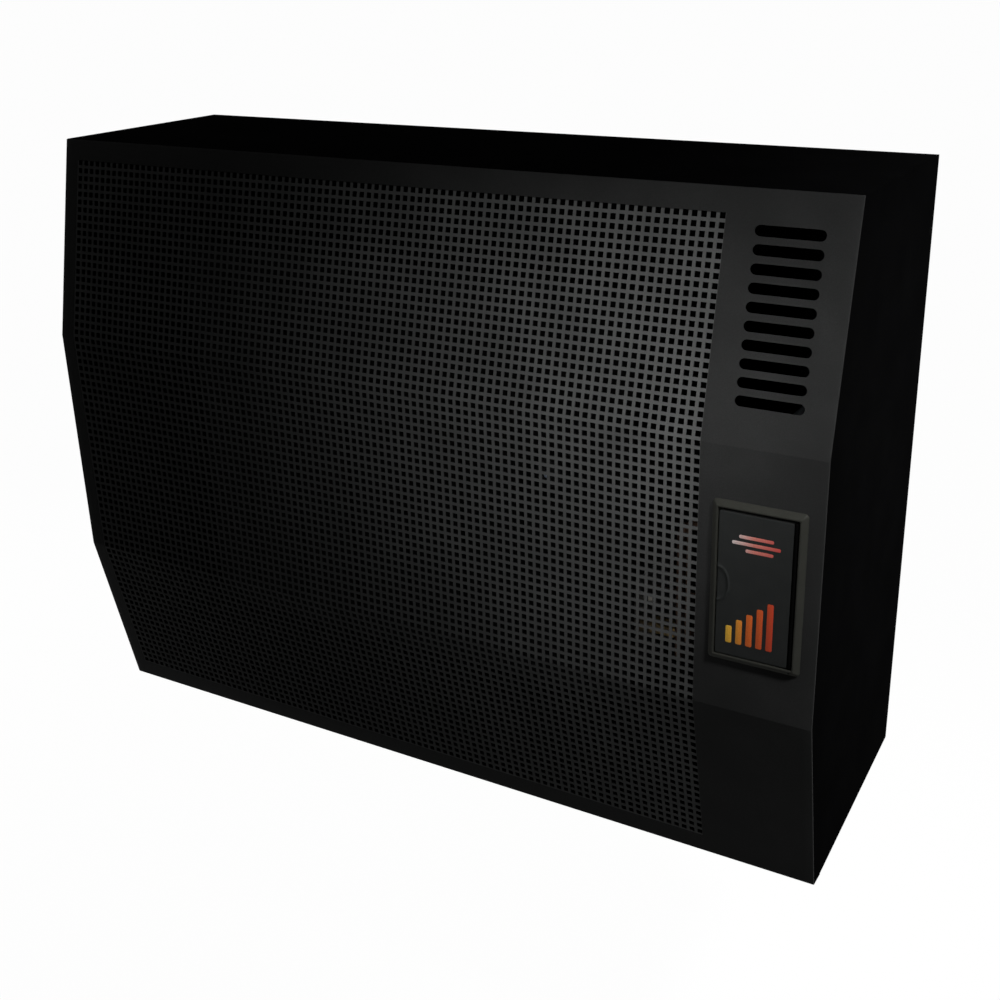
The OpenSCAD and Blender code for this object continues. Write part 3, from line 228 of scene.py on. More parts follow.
@dataclass(frozen=True)
class PowderCoat:
    """Baked powder coat: a fine orange peel over a faintly cloudy tone.

    Attributes:
        tone: the coat's colour.
        lift: how much paler its pale specks are, as a factor.
        rough: its roughness.
        gloss: the specular level.
        peel: size of one dimple.
        relief: depth of the dimples.
        pierced: a lighter colour painted on the bars of the pierced field, where there is one: a painted
            highlight for the light that the holes' edges catch.
        field: left, right, lower and upper edge of that field, where the painted highlight lies.
        cut: a darker colour painted on the punched walls and the sheet's inner side, where they differ:
            painted shade inside the holes.
    """

    tone: Rgb
    lift: float = 1.35
    rough: float = 0.55
    gloss: float = 0.1
    peel: float = 0.7
    relief: float = 0.03
    pierced: Rgb | None = None
    field: Bounds = (0.0, 0.0, 0.0, 0.0)
    cut: Rgb | None = None

    def sockets(self, g: Graph) -> dict[str, object]:
        """The values of its shader.

        Args:
            g: the material's graph.

        Returns:
            A value for each socket.
        """
        cloud = g.noise(60.0, 4.0)
        grain = g.noise(self.peel, 2.0)
        pale = tuple(c * self.lift for c in self.tone)
        tint = (cloud * 0.5 + grain * 0.5).rising(0.38, 0.66)
        colour = g.mix(tint, self.tone, pale)
        # The pierced field's bars take a lighter colour: a painted highlight, not a different coat.
        if self.pierced is not None:
            left, right, low, high = self.field
            inside = g.band("X", left, right) * g.band("Z", low, high)
            bar_highlight = g.mix(tint, self.pierced, tuple(c * self.lift for c in self.pierced))
            colour = g.mix(inside, colour, bar_highlight)
        # The punched walls and the inner side take a darker colour: painted shade inside the holes.
        if self.cut is not None:
            walls = g.node("Attribute", output="Fac", attribute_name="cut")
            colour = g.mix(walls, colour, self.cut)
        return {
            "Base Color": colour,
            "Roughness": cloud * 0.12 + (self.rough - 0.06),
            "Specular IOR Level": self.gloss,
            "Normal": g.bump(grain, 0.6, self.relief),
        }


@dataclass(frozen=True)
class SheetMetal:
    """Zinc plated sheet: crystals of zinc over the fine lines that rolling leaves.

    Attributes:
        tone: the metal's colour.
        shade: the colour of its dull patches.
        rough: its roughness.
        spangle: size of the zinc's crystals.
        stain: how much dull film lies on it, from 0 to 1.
        painted_shade_from: distance from the wall beyond which its side towards the room is painted near
            black as shade, where it is.
    """

    tone: Rgb
    shade: Rgb
    rough: float = 0.38
    spangle: float = 9.0
    stain: float = 0.5
    painted_shade_from: float | None = None

    def sockets(self, g: Graph) -> dict[str, object]:
        """The values of its shader.

        Args:
            g: the material's graph.

        Returns:
            A value for each socket.
        """
        lines = g.noise(0.5, 2.0, (40.0, 1.0, 1.0))
        cells = {"Vector": g.place(), "Scale": 1.0 / (self.spangle * MM)}
        crystal = g.node("SeparateColor", {0: g.node("TexVoronoi", cells, "Color")})
        film = g.noise(35.0, 5.0).rising(0.42, 0.72) * self.stain
        colour = g.mix(film, g.mix(crystal * 0.5, self.tone, self.shade), self.shade)
        metallic: Signal | float = 1.0
        # Towards the room the face is painted near black and not metallic: painted shade of the heater's
        # inside.
        if self.painted_shade_from is not None:
            bare = g.axis("Y").rising((-self.painted_shade_from - 0.2) * MM, (-self.painted_shade_from + 0.2) * MM)
            colour = g.mix(bare, (0.002, 0.002, 0.002), colour)
            metallic = bare
        return {
            "Base Color": colour,
            "Metallic": metallic,
            "Specular IOR Level": 0.0,
            "Roughness": crystal * 0.14 + film * 0.2 + (self.rough - 0.07),
            "Normal": g.bump(lines, 0.25, 0.02),
        }


@dataclass(frozen=True)
class TurnedMetal:
    """Turned, drawn or cast metal with tool marks and a little tarnish.

    Attributes:
        tone: the metal's colour.
        tarnish: the colour of its tarnish.
        rough: its roughness.
        grain: size of the marks.
        relief: depth of the marks.
        spread: how much tarnish there is, from 0 to 1.
    """

    tone: Rgb
    tarnish: Rgb
    rough: float = 0.3
    grain: float = 0.4
    relief: float = 0.02
    spread: float = 0.6

    def sockets(self, g: Graph) -> dict[str, object]:
        """The values of its shader.

        Args:
            g: the material's graph.

        Returns:
            A value for each socket.
        """
        marks = g.noise(self.grain, 3.0)
        film = g.noise(14.0, 5.0).rising(0.45, 0.75) * self.spread
        return {
            "Base Color": g.mix(film, self.tone, self.tarnish),
            "Metallic": 1.0,
            "Roughness": marks * 0.1 + film * 0.22 + (self.rough - 0.05),
            "Normal": g.bump(marks, 0.4, self.relief),
        }


@dataclass(frozen=True)
class Moulding:
    """Moulded plastic, rubber, ceramic or pressed fibre, with a fine skin texture.

    Attributes:
        tone: its colour.
        shade: the colour of its darker flecks.
        rough: its roughness.
        gloss: the specular level.
        grain: size of the skin's grain.
        relief: depth of the grain.
        coat: weight of a clear coat.
    """

    tone: Rgb
    shade: Rgb
    rough: float = 0.45
    gloss: float = 0.3
    grain: float = 0.5
    relief: float = 0.03
    coat: float = 0.0

    def sockets(self, g: Graph) -> dict[str, object]:
        """The values of its shader.

        Args:
            g: the material's graph.

        Returns:
            A value for each socket.
        """
        grain = g.noise(self.grain, 2.0)
        cloud = g.noise(self.grain * 30.0, 3.0)
        return {
            "Base Color": g.mix((grain * 0.6 + cloud * 0.4).rising(0.3, 0.75), self.shade, self.tone),
            "Roughness": cloud * 0.1 + (self.rough - 0.05),
            "Specular IOR Level": self.gloss,
            "Coat Weight": self.coat,
            "Coat Roughness": 0.2,
            "Normal": g.bump(grain, 0.5, self.relief),
        }


@dataclass(frozen=True)
class Enamel:
    """Heat resisting enamel, dark and darkened further to near black as painted shade of the heater's inside,
    and bleached above the flames.

    Attributes:
        tone: the enamel's colour, near black as painted shade.
        bleach: its colour where it gets hottest.
        hot: height of the hottest zone.
    """

    tone: Rgb
    bleach: Rgb
    hot: float

    def sockets(self, g: Graph) -> dict[str, object]:
        """The values of its shader.

        Args:
            g: the material's graph.

        Returns:
            A value for each socket.
        """
        patch = g.noise(50.0, 5.0)
        height = (g.axis("Z") - self.hot * MM).size()
        heat = (1.0 - height.rising(0.0, 0.16)) * patch.rising(0.35, 0.65) * 0.7
        grain = g.noise(1.2, 3.0)
        return {
            "Base Color": g.mix(heat, self.tone, self.bleach),
            "Roughness": patch * 0.3 + 0.4,
            "Specular IOR Level": 0.02,
            "Normal": g.bump(grain, 0.6, 0.06),
        }


@dataclass(frozen=True)
class SightGlass:
    """Heat resisting glass with a dark film, and a pale spot in its middle that is a painted highlight.

    Attributes:
        film: the dark film's colour.
        clear: the colour of the painted highlight in the middle.
        middle: X and Z of the glass's middle.
        spot: radius of the painted highlight.
    """

    film: Rgb
    clear: Rgb
    middle: Pair
    spot: float

    def sockets(self, g: Graph) -> dict[str, object]:
        """The values of its shader; the painted highlight is a smooth step of the distance from the middle.

        Args:
            g: the material's graph.

        Returns:
            A value for each socket.
        """
        x, z = (g.axis(letter) - at * MM for letter, at in zip("XZ", self.middle))
        dust = g.noise(5.0, 4.0).rising(0.4, 0.8)
        away = (x * x + z * z) ** 0.5 + dust * (0.4 * MM)
        # Outside the middle the glass is dark; inside it lies a pale painted highlight.
        outside_highlight = away.rising((self.spot - 0.6) * MM, (self.spot + 0.6) * MM)
        return {
            "Base Color": g.mix(outside_highlight, self.clear, self.film),
            "Roughness": dust * 0.3 + 0.1,
            "Transmission Weight": 0.3,
            "IOR": 1.2,
            "Normal": g.bump(dust, 0.2, 0.02),
        }


@dataclass(frozen=True)
class Print:
    """Screen print whose colour runs from left to right across its bars.

    Attributes:
        stops: the ramp's colours with their places from 0 to 1.
        span: left and right edge of the ramp.
    """

    stops: tuple[tuple[float, Rgb], ...]
    span: Pair

    def sockets(self, g: Graph) -> dict[str, object]:
        """The values of its shader.

        Args:
            g: the material's graph.

        Returns:
            A value for each socket.
        """
        low, high = (v * MM for v in self.span)
        across = ((g.axis("X") - low) / (high - low)).limited()
        print_tone = g.node("ValToRGB", {0: across})
        ramp = print_tone.socket.node.color_ramp
        while len(ramp.elements) < len(self.stops):
            ramp.elements.new(1.0)
        for stop, (place, tone) in zip(ramp.elements, self.stops):
            stop.position, stop.color = place, (*tone, 1.0)
        wear = g.noise(0.9, 3.0).rising(0.3, 0.8)
        return {
            "Base Color": g.mix(wear * 0.25, print_tone, (0.05, 0.045, 0.045)),
            "Roughness": wear * 0.15 + 0.4,
            "Specular IOR Level": 0.2,
            "Normal": g.bump(wear, 0.3, 0.02),
        }


class Finish(Enum):
    """Every finish of the heater, in a maker's plain words."""

    CASING = PowderCoat((0.002, 0.002, 0.0021), gloss=0.0)
    # The front's bars carry a lighter painted highlight, and its punched walls and inner side a darker
    # painted shade.
    FRONT = PowderCoat(
        (0.0222, 0.0226, 0.0224),
        gloss=0.01,
        pierced=(0.074, 0.0756, 0.0748),
        field=(-405.0, 313.7, -294.5, 295.2),
        cut=(0.02, 0.02, 0.02),
    )
    INNER_COAT = PowderCoat((0.012, 0.012, 0.0125), gloss=0.05)
    # Near black painted shade for the inner sheets, brackets and screws seen through the grille.
    SHADE_BLACK = PowderCoat((0.002, 0.002, 0.002), gloss=0.0, peel=1.4)
    ZINC = SheetMetal((0.5, 0.515, 0.53), (0.34, 0.35, 0.365))
    # The back plate's side towards the room is painted near black as shade.
    WALL_ZINC = SheetMetal((0.5, 0.515, 0.53), (0.34, 0.35, 0.365), painted_shade_from=1.0)
    DULL_ZINC = SheetMetal((0.2, 0.2, 0.21), (0.1, 0.1, 0.1), rough=0.5, stain=0.9)
    SCREW_ZINC = TurnedMetal((0.6, 0.61, 0.63), (0.34, 0.33, 0.31), rough=0.32)
    DARK_SCREW = PowderCoat((0.003, 0.003, 0.003), gloss=0.0, peel=0.4)
    BRASS = TurnedMetal((0.5, 0.37, 0.18), (0.22, 0.15, 0.08))
    COPPER = TurnedMetal((0.06, 0.036, 0.026), (0.022, 0.017, 0.014), rough=0.45, grain=0.8)
    CASTING = TurnedMetal((0.5, 0.51, 0.52), (0.33, 0.33, 0.34), rough=0.5, grain=0.9, relief=0.08)
    WIRE = TurnedMetal((0.6, 0.61, 0.62), (0.3, 0.3, 0.31), rough=0.2)
    # The chamber's enamel is dark, and darker still as painted shade.
    ENAMEL = Enamel((0.0025, 0.0025, 0.0026), (0.006, 0.005, 0.0045), 60.0)
    CERAMIC = Moulding((0.82, 0.79, 0.7), (0.66, 0.62, 0.54), rough=0.2, gloss=0.5, relief=0.01, coat=0.6)
    FIBRE = Moulding(
        (0.012, 0.012, 0.0125), (0.007, 0.007, 0.0072), rough=0.95, gloss=0.0, grain=0.6, relief=0.2
    )
    SLEEVE = Moulding((0.03, 0.028, 0.027), (0.02, 0.019, 0.018), rough=0.55, gloss=0.1)
    RUBBER = Moulding((0.008, 0.008, 0.008), (0.005, 0.005, 0.005), rough=0.7, gloss=0.1, grain=0.8)
    # The sight glass's pale middle is a painted highlight.
    GLASS = SightGlass((0.002, 0.002, 0.002), (0.3, 0.36, 0.46), (128.0, 27.0), 3.4)
    BEZEL = Moulding((0.03, 0.0305, 0.0262), (0.024, 0.0245, 0.0212), rough=0.45, gloss=0.04, relief=0.02)
    DOOR = Moulding((0.027, 0.0285, 0.028), (0.02, 0.0212, 0.0208), rough=0.5, gloss=0.02, relief=0.03)
    HINGE = Moulding((0.003, 0.003, 0.003), (0.002, 0.002, 0.002), rough=0.6, gloss=0.0, relief=0.02)
    KNOB = Moulding((0.014, 0.014, 0.015), (0.01, 0.01, 0.01), rough=0.35, gloss=0.4, relief=0.015)
    BUTTON = Moulding((0.5, 0.02, 0.015), (0.38, 0.015, 0.012), rough=0.3, gloss=0.5, relief=0.01)
    MARK = Moulding((0.75, 0.74, 0.7), (0.6, 0.6, 0.57), rough=0.5)
    FERRITE = Moulding((0.045, 0.045, 0.05), (0.03, 0.03, 0.033), rough=0.5, gloss=0.4, relief=0.03)
    UPPER_PRINT = Print(
        ((0.0, (0.72, 0.7, 0.68)), (0.45, (0.62, 0.2, 0.16)), (1.0, (0.45, 0.02, 0.02))), (342, 394)
    )
    LOWER_PRINT = Print(
        ((0.0, (0.8, 0.5, 0.05)), (0.4, (0.7, 0.14, 0.02)), (1.0, (0.45, 0.015, 0.015))), (342, 392)
    )

    def material(self) -> bpy.types.Material:
        """The finish's material, made once.

        Returns:
            The material.
        """
        name = "finish_" + self.name.lower()
        made = bpy.data.materials.get(name)
        if made is None:
            made = bpy.data.materials.new(name)
            graph = Graph(made)
            shader = graph.node("BsdfPrincipled", self.value.sockets(graph))
            graph.node("OutputMaterial", {"Surface": shader})
        return made


# Shapes


def turned(angle: float, axis: str) -> Array:
    """The matrix of a turn about the X, Y or Z axis."""
    return np.array(Matrix.Rotation(angle, 3, axis))


def linked(name: str, data: bpy.types.ID) -> bpy.types.Object:
    """Puts a new object into the scene.

    Args:
        name: the object's name.
        data: its mesh, lamp or camera.

    Returns:
        The object.
    """
    made = bpy.data.objects.new(name, data)
    bpy.context.scene.collection.objects.link(made)
    return made


# Turns a lathed shape's Z to the front, -Y.
TO_FRONT = turned(math.pi / 2, "X")


@dataclass
class Shell:
    """A mesh in numbers.

    Attributes:
        points: one row of X, Y, Z for each vertex.
        faces: arrays of faces that have one count of corners each.
        cut: how many of the last arrays are cut walls or an inner side.
    """

    points: Array
    faces: list[Array]
    cut: int = 0

    def moved(self, shift: Sequence[float], turn: Array | None = None) -> "Shell":
        """This shell turned by a matrix and then shifted."""
        points = self.points if turn is None else self.points @ turn.T
        return Shell(points + np.asarray(shift, float), self.faces, self.cut)

    def piece(self, name: str, finish: Finish, body: str, slot: str) -> bpy.types.Object:
        """Makes the Blender object, in metres, and lets it ride on a CAD body. Points that share one
        place are welded.

        Args:
            name: the piece's name.
            finish: its finish.
            body: the CAD body that carries it.
            slot: the record's material slot; not used.

        Returns:
            The object.
        """
        _, first, weld = np.unique(np.round(self.points, 6), axis=0, return_index=True, return_inverse=True)
        corners = first[weld.ravel()][np.concatenate([f.ravel() for f in self.faces])]
        used, order = np.unique(corners, return_inverse=True)
        counts = np.concatenate([np.full(len(f), f.shape[1]) for f in self.faces])
        mesh = bpy.data.meshes.new(name)
        mesh.vertices.add(len(used))
        mesh.vertices.foreach_set("co", (self.points[used] * MM).astype(np.float32).ravel())
        mesh.loops.add(len(order))
        mesh.loops.foreach_set("vertex_index", order.ravel().astype(np.int32))
        mesh.polygons.add(len(counts))
        mesh.polygons.foreach_set("loop_start", (np.cumsum(counts) - counts).astype(np.int32))
        mesh.update(calc_edges=True)
        # The walls and the inner side are marked for the painted shade that the front's finish puts on them.
        if self.cut:
            outer = len(self.faces) - self.cut
            walls = np.repeat(np.arange(len(self.faces)) >= outer, [len(f) for f in self.faces])
            mesh.attributes.new("cut", "FLOAT", "FACE").data.foreach_set("value", walls.astype(np.float32))
        mesh.validate()
        mesh.polygons.foreach_set("use_smooth", np.ones(len(mesh.polygons), bool))
        mesh.set_sharp_from_angle(angle=SHARP)
        mesh.materials.append(finish.material())
        made = linked(name, mesh)
        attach(made, body)
        LOG.info("%s: %d vertices, %d faces", name, len(used), len(counts))
        return made


def merged(*shells: Shell) -> Shell:
    """Shells in one mesh, without their marks for cut walls.

    Args:
        shells: the shells.

    Returns:
        The one shell.
    """
    starts = np.cumsum([0] + [len(s.points) for s in shells[:-1]])
    faces = [f + start for s, start in zip(shells, starts) for f in s.faces]
    return Shell(np.concatenate([s.points for s in shells]), faces)


def strip_faces(rows: int, columns: int, closed: bool) -> Array:
    """Quads between the rows of a grid of points.

    Args:
        rows: how many rows the grid has.
        columns: how many points a row has.
        closed: whether each row is a ring.

    Returns:
        One row of four indices for each quad.
    """
    grid = np.arange(rows * columns).reshape(rows, columns)
    if closed:
        grid = np.concatenate([grid, grid[:, :1]], 1)
    return np.stack([grid[:-1, :-1], grid[:-1, 1:], grid[1:, 1:], grid[1:, :-1]], -1).reshape(-1, 4)


def border(rows: int, columns: int) -> Array:
    """The numbers of a grid's outermost points: first column, last row, and back the same way."""
    grid = np.arange(rows * columns).reshape(rows, columns)
    return np.concatenate([grid[:, 0], grid[-1, 1:], grid[-2::-1, -1], grid[0, -2:0:-1]])


def facing(points: Array, faces: list[Array], way: Sequence[float]) -> list[Array]:
    """Faces, all of them turned round where the first looks away from a direction."""
    a, b, d = (points[faces[0][0][k]] for k in (0, 1, -1))
    return [f[:, ::-1] for f in faces] if np.cross(b - a, d - a) @ way < 0 else faces


def rings(sections: Array, cap_start: bool = True, cap_end: bool = True) -> Shell:
    """A surface through rings of points, with flat caps.

    Args:
        sections: an array of rings, points and coordinates.
        cap_start: whether the first ring is filled.
        cap_end: whether the last ring is filled.

    Returns:
        The shell.
    """
    count, sides = sections.shape[:2]
    faces = [strip_faces(count, sides, True)]
    if cap_start:
        faces.append(np.arange(sides)[None, ::-1])
    if cap_end:
        faces.append((np.arange(sides) + (count - 1) * sides)[None])
    return Shell(sections.reshape(-1, 3), faces)


def lathe(path: Profile, sides: int, wave: Callable[[Array, Array], Array] | None = None) -> Shell:
    """A shape turned about its own Z: radius r at angle a gives (r cos a, r sin a, z).

    Args:
        path: radius and height of each ring, from the bottom's middle up and round to the top's.
        sides: points in a ring.
        wave: a factor on the radius, from the ring's number and the angle.

    Returns:
        The shell, closed by its first and last ring.
    """
    radius, height = np.asarray(path, float).T
    angle = np.arange(sides) * 2 * np.pi / sides
    reach = np.repeat(radius[:, None], sides, 1)
    if wave is not None:
        reach = reach * wave(np.arange(len(radius))[:, None], angle[None, :])
    rise = np.repeat(height[:, None], sides, 1)
    return rings(np.stack([reach * np.cos(angle), reach * np.sin(angle), rise], -1))


def rounded(half_w: float, half_h: float, radius: float) -> Array:
    """A rectangle with round corners, anticlockwise: each corner is a quarter circle about its own middle.

    Args:
        half_w: half of its width.
        half_h: half of its height.
        radius: radius of its corners.

    Returns:
        One row of two coordinates for each point, eight of them in a corner.
    """
    arc = np.linspace(0, np.pi / 2, 8)
    middle = np.array([[1, 1], [-1, 1], [-1, -1], [1, -1]]) * [half_w - radius, half_h - radius]
    angle = arc[None, :] + (np.arange(4) * np.pi / 2)[:, None]
    circle = np.stack([np.cos(angle), np.sin(angle)], -1) * radius
    return (middle[:, None, :] + circle).reshape(-1, 2)


def frame_sections(half_w: float, half_h: float, radius: float, profile: Profile) -> Array:
    """Rings of a rounded rectangle, each inset and set back in Y as a profile says."""
    flats = [rounded(half_w - inset, half_h - inset, max(radius - inset, 0.6)) for inset, _ in profile]
    return np.array([np.insert(flat, 1, depth, axis=1) for flat, (_, depth) in zip(flats, profile)])


def bead(width: float, height: float, radius: float, rise: float, edge: float) -> Shell:
    """A low pad in the XZ plane with round corners, that rises towards -Y with a quarter round edge.

    Args:
        width: its width.
        height: its height.
        radius: radius of its corners.
        rise: how far it rises.
        edge: radius of its edge.

    Returns:
        The shell.
    """
    bend = [(1 - math.cos(a), 1 - math.sin(a)) for a in np.linspace(0, np.pi / 2, 4)]
    profile = [(0.0, 0.0), *((edge * inset, edge * depth - rise) for inset, depth in bend)]
    return rings(frame_sections(width / 2, height / 2, radius, profile))


def thickened(points: Array, normals: Array, faces: list[Array], depth: float) -> Shell:
    """Gives an open surface a wall: a copy of it lies at points minus depth times normals, and a strip
    of quads joins the two along every edge that only one face has.

    Args:
        points: the outer surface.
        normals: its outward unit normals.
        faces: its faces, with their outward side to the front.
        depth: the wall's thickness.

    Returns:
        The closed shell.
    """
    count = len(points)
    starts = np.concatenate([f.ravel() for f in faces])
    ends = np.concatenate([np.roll(f, -1, 1).ravel() for f in faces])
    alone = ~np.isin(starts * count + ends, ends * count + starts)
    a, b = starts[alone], ends[alone]
    rim = np.stack([b, a, a + count, b + count], 1)
    inner = [f[:, ::-1] + count for f in faces]
    return Shell(np.concatenate([points, points - depth * normals]), [*faces, *inner, rim], len(inner) + 1)


@dataclass
class FoldedLine:
    """The line of a folded sheet in Y and Z, as knots along the flat length. All bends turn one way.

    Attributes:
        corners: the sharp corners, from one end to the other.
        radii: the outer bend radius at each corner; the ends have none.
    """

    corners: Profile
    radii: Sequence[float]
    knots: Array = field(init=False)
    line: Array = field(init=False)
    out: Array = field(init=False)

    def __post_init__(self) -> None:
        """Works out the knots: a bend of radius r and turn t starts r tan(t / 2) before its corner, and
        its points lie on the circle that touches both flats."""
        corners = np.asarray(self.corners, float)
        steps = np.diff(corners, axis=0)
        lengths = np.linalg.norm(steps, axis=1)
        along = steps / lengths[:, None]
        normal = np.stack([along[:, 1], -along[:, 0]], 1)
        at = np.concatenate([[0.0], np.cumsum(lengths)])
        knots, line, out = [at[:1]], [corners[:1]], [normal[:1]]
        for i in range(1, len(corners) - 1):
            turn = math.acos(float(np.clip(along[i - 1] @ along[i], -1, 1)))
            trim = self.radii[i] * math.tan(turn / 2)
            share = np.linspace(0, 1, 5 if turn < 1 else 9)
            ends = np.sin((1 - share) * turn)[:, None], np.sin(share * turn)[:, None]
            blend = (ends[0] * normal[i - 1] + ends[1] * normal[i]) / math.sin(turn)
            centre = corners[i] - along[i - 1] * trim - self.radii[i] * normal[i - 1]
            knots.append(at[i] - trim + share * 2 * trim)
            line.append(centre + self.radii[i] * blend)
            out.append(blend)
        knots.append(at[-1:])
        line.append(corners[-1:])
        out.append(normal[-1:])
        self.knots, self.line, self.out = (np.concatenate(v) for v in (knots, line, out))

    def at(self, along: Array) -> tuple[Array, Array]:
        """Points and normals in Y and Z at distances along the sheet, from the knots by straight parts.

        Args:
            along: the distances.

        Returns:
            The points, and the unit normals.
        """
        point = np.stack([np.interp(along, self.knots, self.line[:, k]) for k in (0, 1)], -1)
        normal = np.stack([np.interp(along, self.knots, self.out[:, k]) for k in (0, 1)], -1)
        return point, normal / np.linalg.norm(normal, axis=-1, keepdims=True)


@dataclass(frozen=True)
class RoundHole:
    """A hole with round ends in a pierced sheet, inside a plain cell of the grid.

    Attributes:
        across: the hole's middle across the sheet.
        along: its middle along the sheet.
        straight: half of its straight length, 0 for a circle.
        radius: radius of its ends.
        margin: plain sheet that the cell keeps around it.
    """

    across: float
    along: float
    straight: float
    radius: float
    margin: float = 1.5

    def cell(self) -> Bounds:
        """The cell's left, right, first and last line.

        Returns:
            The four lines.
        """
        wide = self.straight + self.radius + self.margin
        deep = self.radius + self.margin
        return self.across - wide, self.across + wide, self.along - deep, self.along + deep

    def ring(self, us: Array, vs: Array, start: int) -> tuple[list[Array], Array]:
        """Fills the cell with two half rings that share the grid's own border points.

        Args:
            us: the grid's lines across.
            vs: the grid's lines along.
            start: the number of the hole's first own point.

        Returns:
            The two faces, and the points of the hole's edge: (c + s + r cos a, m + r sin a) at each end.
        """
        steps = 11
        grid = np.arange(len(us) * len(vs)).reshape(len(us), len(vs))
        left, right, first, last = np.round(self.cell(), 4)
        u0, u1, uc = (int(np.argmin(np.abs(us - v))) for v in (left, right, self.across))
        v0, v1 = (int(np.argmin(np.abs(vs - v))) for v in (first, last))
        arc = np.linspace(-np.pi / 2, np.pi / 2, steps)
        reach = self.straight + self.radius * np.cos(arc)
        rise = self.along + self.radius * np.sin(arc)
        ends = [np.stack([self.across + reach, rise], 1), np.stack([self.across - reach, rise], 1)[::-1]]
        middle = [[self.across, self.along - self.radius], [self.across, self.along + self.radius]]
        low, high = start + 2 * steps, start + 2 * steps + 1
        right_half = [*grid[uc : u1 + 1, v0], *grid[u1, v0 + 1 : v1 + 1], *grid[uc:u1, v1][::-1], high]
        right_half += [*range(start + steps - 1, start - 1, -1), low]
        left_half = [*grid[u0 : uc + 1, v1][::-1], *grid[u0, v0:v1][::-1], *grid[u0 + 1 : uc + 1, v0], low]
        left_half += [*range(start + 2 * steps - 1, start + steps - 1, -1), high]
        return [np.array([right_half]), np.array([left_half])], np.concatenate([*ends, middle])


@dataclass
class PiercedSheet:
    """A sheet cut along the lines of a grid, whose cells are left out where a hole is.

    Attributes:
        across: the grid's lines across the sheet.
        along: the grid's lines along it.
        place: gives points and outward normals for two arrays of grid coordinates.
        wall: the sheet's thickness.
        squares: middles of the square holes across and along, and half of a hole's side.
        window: a plain opening as left, right, first and last line.
        rounds: holes with round ends.
    """

    across: Array
    along: Array
    place: Callable[[Array, Array], tuple[Array, Array]]
    wall: float
    squares: tuple[Array, Array, float]
    window: Bounds
    rounds: Sequence[RoundHole]

    def shell(self) -> Shell:
        """Cuts the sheet.

        Returns:
            The closed shell, with walls in every hole.
        """
        columns, rows, half = self.squares
        cells = [self.window, *(r.cell() for r in self.rounds)]
        across = [self.across, columns - half, columns + half, [r.across for r in self.rounds]]
        along = [self.along, rows - half, rows + half]
        us = np.unique(np.round(np.concatenate([*across, *(cell[:2] for cell in cells)]), 4))
        vs = np.unique(np.round(np.concatenate([*along, *(cell[2:] for cell in cells)]), 4))
        nv = len(vs)
        mu, mv = (us[1:] + us[:-1]) / 2, (vs[1:] + vs[:-1]) / 2
        in_u = (np.abs(mu[:, None] - columns) < half).any(1)
        in_v = (np.abs(mv[:, None] - rows) < half).any(1)
        keep = ~(in_u[:, None] & in_v[None, :])
        for left, right, first, last in cells:
            keep &= ~(((mu > left) & (mu < right))[:, None] & ((mv > first) & (mv < last))[None, :])
        i, j = np.nonzero(keep)
        at = i * nv + j
        faces = [np.stack([at, at + nv, at + nv + 1, at + 1], 1)]
        flat = [np.stack([g.ravel() for g in np.meshgrid(us, vs, indexing="ij")], 1)]
        start = len(us) * nv
        for hole in self.rounds:
            halves, points = hole.ring(us, vs, start)
            faces += halves
            flat.append(points)
            start += len(points)
        points, normals = self.place(*np.concatenate(flat).T)
        return thickened(points, normals, facing(points, faces, normals[faces[0][0][0]]), self.wall)


# Sub-assemblies


